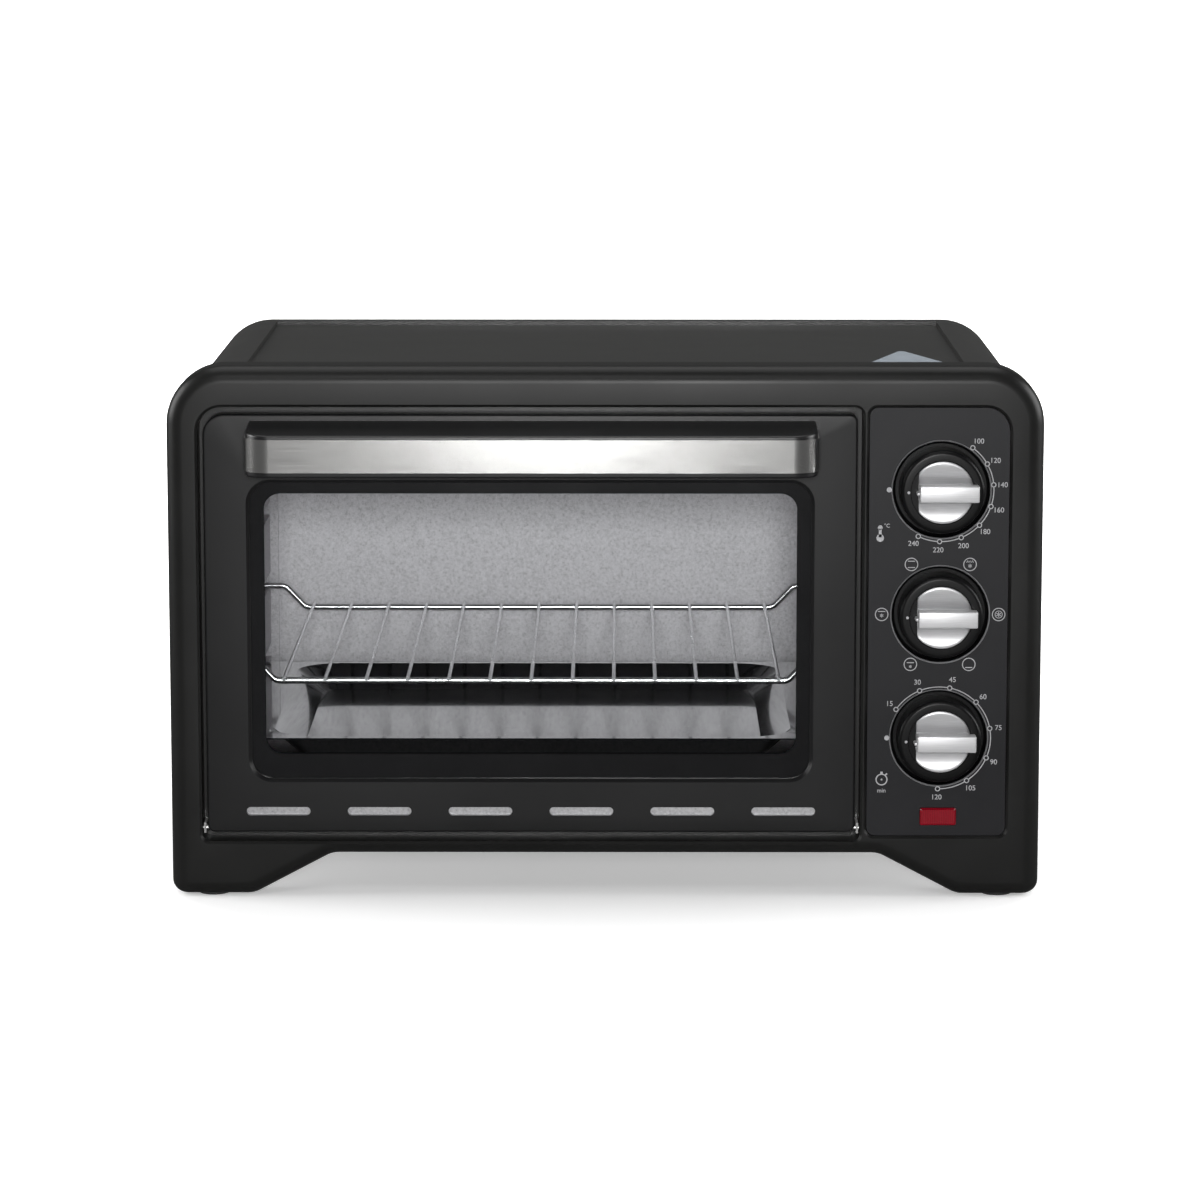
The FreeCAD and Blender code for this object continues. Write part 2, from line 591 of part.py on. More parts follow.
def make_base_panel():
    body = new_body("base_panel")
    side = "cover_half - sheet - sheet_play"
    through = ("base_up - past", "base_up + sheet + past")
    pad(body, "XY", ("base_up", "base_up + sheet"),
        rectangle((f"-({side})", side), ("plate + sheet + sheet_play", "rear - sheet * 2 - sheet_play"),
                  "base_corner"))
    pocket(body, "XY", through, *[circle(x, y, "screw_radius + screw_play") for x, y in base_screw_places()])
    y = ("plate + base_slots", "plate + base_slots + louvre_high")
    slots = [rectangle((x, f"{x} + louvre_rear"), y, "louvre_round")
             for x in ("-base_slot_left", "base_slot_right")]
    first = pocket(body, "XY", through, *slots)
    repeat(body, first, "Y", "base_pitch", COUNTS["base_slots"])
    screws = []
    for x, y in base_screw_places():
        head = rod("Z", (x, y), ("base_up - head_high", "base_up"), "head_radius")
        shank = rod("Z", (x, y), ("base_up", "base_up + screw_long"), "screw_radius")
        screws.append(fuse([head, shank]))
    keep(group(screws), "base_screws")


def make_top_label():
    """A blank kite-shaped sticker near the front right of the top."""
    body = new_body("top_label")
    pad(body, "XY", ("stamp_z", "stamp_z + label_thick"),
        [("label_x", "label_y - label_front", "label_round"),
         ("label_x + label_half", "label_y", "label_bend"),
         ("label_x", "label_y + label_rear", "label_round"),
         ("label_x - label_half", "label_y", "label_bend")])


# ---------------------------------------------------------------- oven cavity
def runner_z(index):
    return f"(cavity_low + first_runner + {index} * runner_pitch)"


def heater_places():
    return {f"{level}_{row}": (f"face + heater_{row}", z)
            for level, z in (("upper", "cavity_top - heater_up"), ("lower", "cavity_low + heater_up"))
            for row in ("front", "rear")}


def make_cavity_walls():
    """Side walls with grooves pressed outwards, which carry the rack and the tray."""
    for label, sign, wall in (("cavity_left_wall", -1, "cavity_left"),
                              ("cavity_right_wall", 1, "cavity_right")):
        body = new_body(label)

        def span(inner, outer):
            return tuple(sorted((f"{wall} + {sign} * ({inner})", f"{wall} + {sign} * ({outer})"), key=number))

        levels = [runner_z(index) for index in range(COUNTS["runners"])]
        y = ("cavity_y", "cavity_back")
        pad(body, "XZ", y, rectangle(span("0", "sheet"), ("cavity_low - sheet", "cavity_top + sheet")))
        pad(body, "XZ", y, *[rectangle(span("0", "groove_deep + sheet"),
                                       (f"{z} - sheet", f"{z} + groove_high + sheet")) for z in levels])
        pocket(body, "XZ", ("cavity_y - past", "cavity_back + past"),
               *[rectangle(span("-past", "groove_deep"), (z, f"{z} + groove_high")) for z in levels])
        pocket(body, "YZ", span("-past", "past"),
               *[circle(y, z, "bushing_radius - bushing_step") for y, z in heater_places().values()])


def make_cavity_sheets():
    x = ("cavity_left", "cavity_right")
    y = ("cavity_y", "cavity_back")
    keep(box(x, y, ("cavity_low - sheet", "cavity_low")), "cavity_floor")
    keep(box(x, y, ("cavity_top", "cavity_top + sheet")), "cavity_roof")
    back = new_body("cavity_back")
    margin = "back_inset"
    dish = rectangle((f"cavity_left + {margin}", f"cavity_right - {margin}"),
                     (f"cavity_low + {margin}", f"cavity_top - {margin}"), "back_corner")
    inner = rectangle((f"cavity_left + {margin} + sheet", f"cavity_right - {margin} - sheet"),
                      (f"cavity_low + {margin} + sheet", f"cavity_top - {margin} - sheet"),
                      "back_corner - sheet")
    pad(back, "XZ", ("cavity_back", "cavity_back + sheet"),
        rectangle(("runner_left - sheet", "runner_right + sheet"),
                  ("cavity_low - sheet", "cavity_top + sheet")))
    pad(back, "XZ", ("cavity_back + sheet", "cavity_back + sheet + back_dish"), dish)
    pocket(back, "XZ", ("cavity_back - 1", "cavity_back + back_dish"), inner)


def make_front_plate():
    """The steel plate behind the front frame, open for the oven, its grooves and the door stay."""
    body = new_body("cavity_front_plate")
    through = ("plate - past", "plate + sheet + past")
    pad(body, "XZ", ("plate", "plate + sheet"),
        rectangle(("sheet * 2 - cover_half", "shield_x + plate_lap"),
                  ("base_up + plate_play", "cover_top - sheet * 2"), [0, 0, 0, "cover_corner"]))
    pocket(body, "XZ", through, rectangle(("cavity_left", "cavity_right"), ("cavity_low", "cavity_top")))
    levels = [runner_z(index) for index in range(COUNTS["runners"])]
    pocket(body, "XZ", through,
           *[rectangle(("runner_left", "runner_right"), (z, f"{z} + groove_high")) for z in levels])
    pocket(body, "XZ", through,
           rectangle(("stay_x - stay_thick - stay_gap", "runner_left - sheet"),
                     ("hinge_z + stay_radius - stay_wide / 2 - stay_room_low",
                      "hinge_z + stay_radius + stay_wide / 2 + stay_room_top")),
           *[circle(x, z, "screw_radius + screw_play") for x, z in frame_screw_places()[:2]])
    keep(box(("shield_x", "shield_x + sheet"), ("plate + sheet", "rear - sheet - shield_rear_gap"),
             ("base_up + sheet", "stamp_z - sheet - shield_top_gap")), "heat_shield")


def make_heaters():
    bushings = []
    for name, (y, z) in heater_places().items():
        element = rod("X", (y, z), ("cavity_left - heater_out", "shield_x - heater_end_gap"), "heater_radius")
        keep(element, f"heater_{name}")
        for wall, sign in (("cavity_left", -1), ("cavity_right", 1)):
            near, far = f"{wall} + {sign} * sheet", f"{wall} + {sign} * bushing_long"
            low, high = sorted((near, far), key=number)
            flange = rod("X", (y, z), (low, high), "bushing_radius")
            neck = rod("X", (y, z), sorted((f"{wall} - {sign} * bushing_neck", near), key=number),
                       "bushing_radius - bushing_step - sheet_play")
            bore = rod("X", (y, z), (f"{low} - bushing_long", f"{high} + bushing_long"),
                       "heater_radius + running")
            bushings.append(cut(fuse([flange, neck]), [bore]))
    keep(group(bushings), "heater_bushings")


def frame_screw_places():
    """Screws that hold the front plate and the control bracket to the frame."""
    return [(x, z) for x in ("frame_screw_in - half", "half - frame_screw_in")
            for z in ("margin_low + frame_screw_up", "recess_top - frame_screw_down")]


# ---------------------------------------------------------------- door
def make_door_panel():
    body = new_body("door_panel")
    front = ("door_y - past", "skin_y + past")
    pad(body, "XZ", ("door_y", "liner_y"),
        rectangle(("door_left", "door_right"), ("door_low", "door_top"),
                  ["door_small"] * 3 + ["door_corner"]))
    pocket(body, "XZ", ("skin_y", "liner_y + past"),
           rectangle(("door_left + door_skin", "door_right - door_skin"),
                     ("door_low + door_low_wall", "door_top - door_skin"),
                     ["door_inner"] * 3 + ["door_corner - door_skin"]))
    screws = [circle(x, "handle_screw_z", "screw_radius + screw_play") for x in handle_screw_x()]
    pocket(body, "XZ", front,
           rectangle(("window_left", "window_right"), ("window_z", "window_z2"), "window_corner"), *screws)
    dress(body, "Chamfer", "window_edge",
          lambda edge: in_plane(edge, "Y", "door_y")
          and within(edge, ("window_left", "window_right"), ("window_z", "window_z2")))
    dress(body, "Fillet", "door_round",
          lambda edge: in_plane(edge, "Y", "door_y")
          and not within(edge, ("door_left + door_skin", "door_right - door_skin"),
                         ("door_low + door_skin", "door_top - door_skin")))
    slot = pocket(body, "XZ", front,
                  rectangle(("door_left + slot_side", "door_left + slot_side + slot_long"),
                            ("slot_z - slot_high / 2", "slot_z + slot_high / 2"), "slot_round"))
    repeat(body, slot, "X", "slot_pitch", COUNTS["door_slots"])
    pocket(body, "YZ", ("door_left - past", "door_right + past"),
           circle("hinge_y", "hinge_z", "pin_radius + running"))


def make_door_inside():
    """Glass, and the steel liner that clamps it and closes the back of the door."""
    glass = new_body("door_glass")
    wide = ("window_left - glass_lap", "window_right + glass_lap")
    pad(glass, "XZ", ("glass_y", "glass_y + glass_thick"),
        rectangle(wide, ("window_z - glass_lap", "window_z2 + glass_lap"), "glass_corner"))
    liner = new_body("door_liner")
    pad(liner, "XZ", ("liner_y", "liner_y + sheet"),
        rectangle(("door_left + liner_inset", "door_right - liner_inset"),
                  ("door_low + liner_inset", "door_top - liner_inset"), ["door_small"] * 3 + ["door_corner"]))

    def hole(grow):
        """The opening behind the window, grown by the sheet for the lip that holds the glass."""
        return rectangle((f"window_left + liner_in - {grow}", f"window_right - liner_in + {grow}"),
                         (f"window_z + liner_low - {grow}", f"window_z2 - liner_in + {grow}"),
                         f"liner_corner - sheet + {grow}")

    def band(shrink, corner):
        """The channel that lies behind the row of slots."""
        return rectangle((f"{wide[0]} + {shrink}", f"{wide[1]} - {shrink}"),
                         (f"slot_z - slot_high + {shrink}", f"slot_z + slot_high - {shrink}"), corner)

    behind = "liner_y + sheet + past"
    pad(liner, "XZ", ("glass_back", "liner_y"), hole("sheet"))
    pad(liner, "XZ", ("skin_y + liner_play", "liner_y"), band("0", "band_corner"))
    pocket(liner, "XZ", ("glass_y", behind), hole("0"))
    pocket(liner, "XZ", ("skin_y + liner_play + sheet", behind), band("sheet", "band_inner"))


def make_hinges():
    """Steel lugs beside the door, the pins that turn in them, and the stay that holds the door open."""
    pins, lugs = [], []
    centre = ("hinge_y", "hinge_z")
    for edge, sign in (("door_left", -1), ("door_right", 1)):
        ends = sorted((f"{edge} + {sign} * (door_side_gap - pin_end_gap)", f"{edge} - {sign} * pin_long"),
                      key=number)
        pins.append(rod("X", centre, ends, "pin_radius"))
        low, high = sorted((f"{edge} + {sign} * lug_gap", f"{edge} + {sign} * (lug_gap + lug_thick)"),
                           key=number)
        lug = box((low, high), ("hinge_y - lug_front", "plate"), ("hinge_z - lug_low", "hinge_z + lug_top"))
        bore = rod("X", centre, (f"{low} - past", f"{high} + past"), "pin_radius + running")
        lugs.append(cut(lug, [bore]))
    keep(group(lugs), "hinge_lugs")
    keep(group(pins), "hinge_pins")
    sides = ("stay_x - stay_thick", "stay_x")
    reach = "stay_radius + stay_wide"
    ring = cut(rod("X", centre, sides, "stay_radius + stay_wide / 2"),
               [rod("X", centre, ("stay_x - stay_thick - past", "stay_x + past"),
                    "stay_radius - stay_wide / 2")])
    quarter = box(sides, ("liner_y + sheet", f"hinge_y + {reach}"), ("hinge_z", f"hinge_z + {reach}"))
    hook = box(sides, ("hinge_y + stay_radius - stay_wide / 2", f"hinge_y + {reach}"),
               ("hinge_z", "hinge_z + hook_high"))
    keep(fuse([common([ring, quarter]), hook]), "door_stay")


def handle_screw_x():
    return ["handle_left + handle_screw_left", "handle_right - handle_screw_right"]


def make_handle():
    body = new_body("handle_bar")
    low, high = "handle_z", "handle_z2"
    pad(body, "YZ", ("handle_left", "handle_right"),
        [("bar_y", low, 0), ("door_y", low, 0), ("door_y", f"{high} + handle_rise", 0), ("bar_y", high, 0)])
    dress(body, "Fillet", "handle_corner",
          lambda edge: in_plane(edge, "Y", "bar_y") and edge.BoundBox.ZLength > number("handle_high / 2"))
    dress(body, "Fillet", "handle_round",
          lambda edge: in_plane(edge, "Z", low) and edge.BoundBox.YMin < number("door_y - past"))
    dress(body, "Fillet", "handle_round",
          lambda edge: edge.BoundBox.ZMin > number(f"{high} - past")
          and edge.BoundBox.YMin < number("door_y - past"))
    pocket(body, "XY", (f"{low} - past", f"{high} - handle_wall"),
           rectangle(("handle_left + grip_end_left", "handle_right - grip_end_right"),
                     ("bar_y + handle_front", "door_y - grip_back"), "grip_corner"))
    pocket(body, "XZ", ("door_y - handle_screw_deep", "door_y + past"),
           *[circle(x, "handle_screw_z", "screw_radius + running") for x in handle_screw_x()])
    trim = new_body("handle_trim")
    legs = "door_y - trim_leg"
    left, right, front = "handle_left - trim_thick", "handle_right + trim_thick", "bar_y - trim_thick"
    pad(trim, "XY", (f"{high} - trim_lip - trim_high", f"{high} - trim_lip"),
        [(left, legs, 0), (left, front, "handle_corner + trim_thick"),
         (right, front, "handle_corner + trim_thick"), (right, legs, 0),
         ("handle_right", legs, 0), ("handle_right", "bar_y", "handle_corner"),
         ("handle_left", "bar_y", "handle_corner"), ("handle_left", legs, 0)])
    screws = []
    for x in handle_screw_x():
        head = rod("Y", (x, "handle_screw_z"), ("skin_y", "skin_y + head_high"), "head_radius")
        shank = rod("Y", (x, "handle_screw_z"), ("door_y - handle_screw_long", "skin_y"), "screw_radius")
        screws.append(fuse([head, shank]))
    keep(group(screws), "handle_screws")


# ---------------------------------------------------------------- controls
def make_control_panel():
    body = new_body("control_panel")
    levels = [knob_z(index) for index in range(len(KNOBS))]
    pad(body, "XZ", ("panel_y", "panel_y + panel_thick"),
        rectangle(("control_left + panel_gap", "control_right - panel_gap"),
                  ("control_low + panel_gap", "recess_top - panel_gap"),
                  ["recess_small"] * 2 + ["recess_corner", "recess_small"]))
    pad(body, "XZ", ("panel_y + panel_thick", "dish_floor + dish_wall"),
        *[circle("knob_x", z, "dish_radius + dish_wall") for z in levels])
    pocket(body, "XZ", ("panel_y - past", "dish_floor"),
           *[circle("knob_x", z, "dish_radius") for z in levels])
    pocket(body, "XZ", ("panel_y", "plate"),
           *[circle("knob_x", z, "bush_radius + bush_gap") for z in levels])
    dress(body, "Chamfer", "dish_edge",
          lambda edge: in_plane(edge, "Y", "panel_y")
          and within(edge, ("knob_x - dish_radius", "knob_x + dish_radius"),
                     ("lamp_up + lamp_high", "recess_top - recess_small")))
    pocket(body, "XZ", ("panel_y - past", "plate"), rectangle(*lamp_span("lamp_play"), "lamp_corner"))


def lamp_span(grow):
    x, z = "knob_x", "lamp_up"
    return ((f"{x} - lamp_wide / 2 - {grow}", f"{x} + lamp_wide / 2 + {grow}"),
            (f"{z} - lamp_high / 2 - {grow}", f"{z} + lamp_high / 2 + {grow}"))


def make_lamp():
    lens = new_body("lamp_lens")
    x, z = lamp_span("0")
    pad(lens, "XZ", ("panel_y - lamp_proud", "lamp_back"), rectangle(x, z, "lamp_corner"))
    dress(lens, "Chamfer", "lamp_edge", lambda edge: in_plane(edge, "Y", "panel_y - lamp_proud"))
    keep(box(x, ("lamp_back", "bracket_y"), z), "lamp_holder")


def make_control_bracket():
    body = new_body("control_bracket")
    pad(body, "XZ", ("bracket_y", "bracket_back"),
        rectangle(("shield_x + plate_lap + plate_play", "cover_half - sheet * 2"),
                  ("base_up + plate_play", "cover_top - sheet * 2"), [0, 0, "cover_corner", 0]))
    pocket(body, "XZ", ("bracket_y - past", "bracket_back + past"),
           *[circle("knob_x", knob_z(index), "bush_radius + sheet_play") for index in range(len(KNOBS))],
           *[circle(x, z, "screw_radius + screw_play") for x, z in frame_screw_places()[2:]])
    screws = []
    for x, z in frame_screw_places():
        head = rod("Y", (x, z), ("bracket_back", "bracket_back + head_high"), "head_radius")
        shank = rod("Y", (x, z), ("bracket_y - frame_screw_bite", "bracket_back"), "screw_radius")
        screws.append(fuse([head, shank]))
    keep(group(screws), "frame_screws")


def make_switches():
    """Thermostat, selector switch and clockwork timer on the bracket, each with a threaded bush."""
    def block_behind(wide, deep, z):
        return box((f"knob_x - {wide} / 2", f"knob_x + {wide} / 2"),
                   ("bracket_back", f"bracket_back + {deep}"),
                   (f"{z} - switch_high / 2", f"{z} + switch_high / 2"))

    low, middle, top = (knob_z(index) for index in range(len(KNOBS)))
    cases = {"timer": (low, rod("Y", ("knob_x", low), ("bracket_back", "bell_y"), "timer_radius")),
             "selector": (middle, block_behind("selector_wide", "selector_deep", middle)),
             "thermostat": (top, block_behind("thermostat_wide", "thermostat_deep", top))}
    for knob, (z, case) in cases.items():
        bush = rod("Y", ("knob_x", z), ("dish_floor + bush_short", "bracket_back"), "bush_radius")
        bore = rod("Y", ("knob_x", z), ("dish_floor", "bracket_back + bore_deep"), "shaft_radius + running")
        keep(cut(fuse([case, bush]), [bore]), f"{knob}_body")
    rim, crown = "bell_y + bell_up", "bell_y + bell_up + bell_high"
    dome = rod("Y", ("knob_x", low), (rim, crown), "bell_radius")
    hollow = rod("Y", ("knob_x", low), (f"{rim} - past", f"{crown} - bell_wall"), "bell_radius - bell_wall")
    post = rod("Y", ("knob_x", low), ("bell_y", f"{crown} - bell_wall / 2"), "bell_post")
    keep(fuse([cut(dome, [hollow]), post]), "timer_bell")
    x, y, z = "shield_x + sheet", "rear - block_rear - block_long", "base_up + block_up"
    block = box((x, f"{x} + block_thick"), (y, f"{y} + block_long"), (z, f"{z} + block_high"))
    bores = [rod("Z", (f"{x} + block_thick / 2", f"{y} + block_end + {index} * block_pitch"),
                 (f"{z} - past", f"{z} + block_high + past"), "block_bore")
             for index in range(COUNTS["block_bores"])]
    keep(cut(block, bores), "terminal_block")


def make_knob(index, knob):
    """A black skirt, a silver cap with a grip bar between two finger scoops, and a steel shaft."""
    z = knob_z(index)
    skirt = new_body(f"{knob}_knob")
    inside = "cap_seat + cap_floor / 2"
    pad(skirt, "XZ", ("knob_front", "knob_back"), circle("knob_x", z, "knob_radius"))
    dress(skirt, "Fillet", "knob_round", lambda edge: in_plane(edge, "Y", "knob_front"))
    pocket(skirt, "XZ", ("knob_front - past", "cap_seat"), circle("knob_x", z, "cap_radius + cap_play"))
    pocket(skirt, "XZ", ("cap_seat + cap_floor", "knob_back + past"),
           circle("knob_x", z, "knob_radius - knob_wall"))
    pad(skirt, "XZ", (inside, "knob_back - boss_short"), circle("knob_x", z, "shaft_radius + boss_wall"))
    pad(skirt, "XZ", ("knob_front + segment_sunk", inside),
        rectangle(("knob_x - cap_radius - segment_lap", "knob_x - cap_flat - cap_play"),
                  (f"{z} - segment_half", f"{z} + segment_half")))
    pocket(skirt, "XZ", ("cap_seat + shaft_start", "knob_back + past"), circle("knob_x", z, "shaft_radius"))

    disc = rod("Y", ("knob_x", z), ("cap_face", "cap_seat"), "cap_radius")
    reach = "(cap_radius + past)"
    flat = box((f"knob_x - {reach}", "knob_x - cap_flat"), ("cap_face - past", "cap_seat + past"),
               (f"{z} - {reach}", f"{z} + {reach}"))
    scoops = [rod("X", ("knob_front - scoop_out", f"{z} + {sign} * (grip_high / 2 + scoop_off)"),
                  (f"knob_x - {reach}", f"knob_x + {reach}"), "scoop_radius") for sign in (-1, 1)]
    tall = (f"{z} - grip_high / 2", f"{z} + grip_high / 2")
    root = box(("knob_x - cap_flat", "knob_x + cap_radius - bar_short"),
               ("knob_front - bar_root", "cap_seat"), tall)
    bar = box(("knob_x - cap_flat", "knob_x + grip_reach"),
              ("knob_front - grip_proud", "knob_front - bar_lap"), tall)
    keep(fuse([cut(disc, [flat] + scoops), root, bar]), f"{knob}_cap")
    keep(rod("Y", ("knob_x", z), ("cap_seat + shaft_start", "bracket_back + shaft_in"), "shaft_radius"),
         f"{knob}_shaft")


# ---------------------------------------------------------------- rack and tray
def swept_wire(label, points, radius, bend):
    """A bent wire through points, with a round bend at each inner point."""
    places = [FreeCAD.Vector(*(number(part) for part in point)) for point in points]
    edges, start = [], places[0]
    for before, corner, after in zip(places, places[1:], places[2:]):
        come, go = (before - corner).normalize(), (after - corner).normalize()
        half_turn = come.getAngle(go) / 2
        reach = number(bend) / math.tan(half_turn)
        middle = corner + (come + go).normalize() * (number(bend) * (1 / math.sin(half_turn) - 1))
        edges.append(Part.LineSegment(start, corner + come * reach).toShape())
        edges.append(Part.Arc(corner + come * reach, middle, corner + go * reach).toShape())
        start = corner + go * reach
    edges.append(Part.LineSegment(start, places[-1]).toShape())
    path = Part.Wire(edges)
    heading = places[1] - places[0]
    ring = Part.Wire(Part.makeCircle(number(radius), places[0], heading))
    wire = doc.addObject("Part::Feature", label)
    wire.Shape = path.makePipeShell([ring], True, False)
    return wire


def make_rack():
    side = "groove_deep - play - rail_radius"
    left, right = f"cavity_left - ({side})", f"cavity_right + ({side})"
    front, back = "face + rack_front", "cavity_back - rack_rear"
    low = "rack_z - rack_drop"
    rails = []
    for y in (f"{front} + rail_inset", f"{back} - rail_inset"):
        points = [(left, y, "rack_z"), ("cavity_left + rack_bend", y, "rack_z"),
                  ("cavity_left + rack_bend + rack_shoulder", y, low),
                  ("cavity_right - rack_bend - rack_shoulder", y, low),
                  ("cavity_right - rack_bend", y, "rack_z"), (right, y, "rack_z")]
        rails.append(swept_wire("rail", points, "rail_radius", "wire_bend"))
    for x in (left, right):
        rails.append(rod("Y", (x, "rack_z"), (f"{front} + rail_start", back), "rail_radius"))
    keep(fuse(rails), "rack_frame")
    z = f"{low} + rail_radius + wire_radius + weld_gap"
    wires = [rod("Y", (f"cavity_left + wire_margin + {index} * wire_pitch", z),
                 (front, f"{back} - rail_inset + rail_radius"), "wire_radius")
             for index in range(COUNTS["rack_wires"])]
    keep(group(wires), "rack_wires")


def make_tray():
    """A drawn steel tray: flat floor, sloped walls and a flat rim that rides in the lowest grooves."""
    side = "groove_deep - play"
    rim_x = (f"cavity_left - ({side})", f"cavity_right + ({side})")
    rim_y = ("face + tray_front", "cavity_back - tray_rear")

    def tub(label, grow, top):
        """The sloped tub, grown outwards by the sheet's thickness, from its floor to above the rim."""
        x0, x1 = number("cavity_left + tray_side") - grow, number("cavity_right - tray_side") + grow
        y0 = number(f"{rim_y[0]} + tray_end_lip + tray_slope") - grow
        y1 = number(f"{rim_y[1]} - tray_end_lip - tray_slope") + grow
        z0, z1 = number("tray_z - tray_drop") - grow, number("tray_z") + top
        radius = number("tray_corner") + grow
        spread = number("tray_slope / tray_drop") * (z1 - z0)
        tub_body = doc.addObject("Part::Feature", label)
        tub_body.Shape = Part.makeLoft([
            rounded_wire(x0, x1, y0, y1, radius, z0),
            rounded_wire(x0 - spread, x1 + spread, y0 - spread, y1 + spread, radius + spread, z1),
        ], True, True)
        return tub_body

    gauge = number("tray_sheet")
    rim = box(rim_x, rim_y, ("tray_z", "tray_z + tray_sheet"))
    outside = tub("tub_outside", gauge, gauge)
    inside = tub("tub_inside", 0, gauge + number("past"))
    keep(cut(fuse([rim, outside]), [inside]), "baking_tray")


def rounded_wire(x0, x1, y0, y1, radius, z):
    """A rectangle with round corners at height z."""
    centres = [(x1 - radius, y0 + radius, -90), (x1 - radius, y1 - radius, 0),
               (x0 + radius, y1 - radius, 90), (x0 + radius, y0 + radius, 180)]
    arcs = [Part.makeCircle(radius, FreeCAD.Vector(x, y, z), FreeCAD.Vector(0, 0, 1), a, a + 90)
            for x, y, a in centres]
    edges = []
    for arc, following in zip(arcs, arcs[1:] + arcs[:1]):
        edges.append(arc)
        edges.append(Part.makeLine(arc.Vertexes[-1].Point, following.Vertexes[0].Point))
    return Part.Wire(edges)


# ---------------------------------------------------------------- build and write
make_front_frame()
make_feet()
make_outer_cover()
make_rear_panel()
make_spacers_and_gland()
make_base_panel()
make_top_label()
make_cavity_walls()
make_cavity_sheets()
make_front_plate()
make_heaters()
make_door_panel()
make_door_inside()
make_hinges()
make_handle()
make_control_panel()
make_lamp()
make_control_bracket()
make_switches()
for order, knob_name in enumerate(KNOBS):
    make_knob(order, knob_name)
make_rack()
make_tray()
doc.recompute()

for thing in doc.Objects:
    if "Invalid" in thing.State or "Error" in thing.State:
        raise RuntimeError(f"{thing.Label} could not be built")
for thing in NODES:
    if thing.Shape.isNull() or not thing.Shape.isValid():
        raise RuntimeError(f"{thing.Label} has a faulty shape")

os.makedirs("parts", exist_ok=True)
for thing in NODES:
    thing.Shape.exportStep(f"parts/{thing.Label}.step")
print(f"{len(NODES)} pieces written")
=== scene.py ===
"""Looks of the countertop toaster oven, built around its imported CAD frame."""
import json
import math

import bmesh
import bpy
from mathutils import Matrix, Vector


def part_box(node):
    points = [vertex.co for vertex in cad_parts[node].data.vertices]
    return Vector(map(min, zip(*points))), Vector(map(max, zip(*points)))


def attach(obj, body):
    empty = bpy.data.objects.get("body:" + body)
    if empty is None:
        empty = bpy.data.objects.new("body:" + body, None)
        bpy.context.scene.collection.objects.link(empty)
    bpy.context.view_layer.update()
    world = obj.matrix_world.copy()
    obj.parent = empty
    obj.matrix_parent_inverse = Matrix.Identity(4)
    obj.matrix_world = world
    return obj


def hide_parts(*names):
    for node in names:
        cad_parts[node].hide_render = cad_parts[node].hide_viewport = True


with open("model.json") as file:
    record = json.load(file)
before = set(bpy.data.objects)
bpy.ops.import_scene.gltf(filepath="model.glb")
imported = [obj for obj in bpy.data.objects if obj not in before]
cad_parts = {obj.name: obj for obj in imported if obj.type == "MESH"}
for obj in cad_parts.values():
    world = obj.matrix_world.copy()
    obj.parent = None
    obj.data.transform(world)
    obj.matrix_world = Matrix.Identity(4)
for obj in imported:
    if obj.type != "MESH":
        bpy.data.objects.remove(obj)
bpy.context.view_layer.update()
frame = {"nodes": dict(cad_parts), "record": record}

MM = 0.001
NODES = frame["nodes"]
KNOB_NAMES = ("thermostat", "selector", "timer")


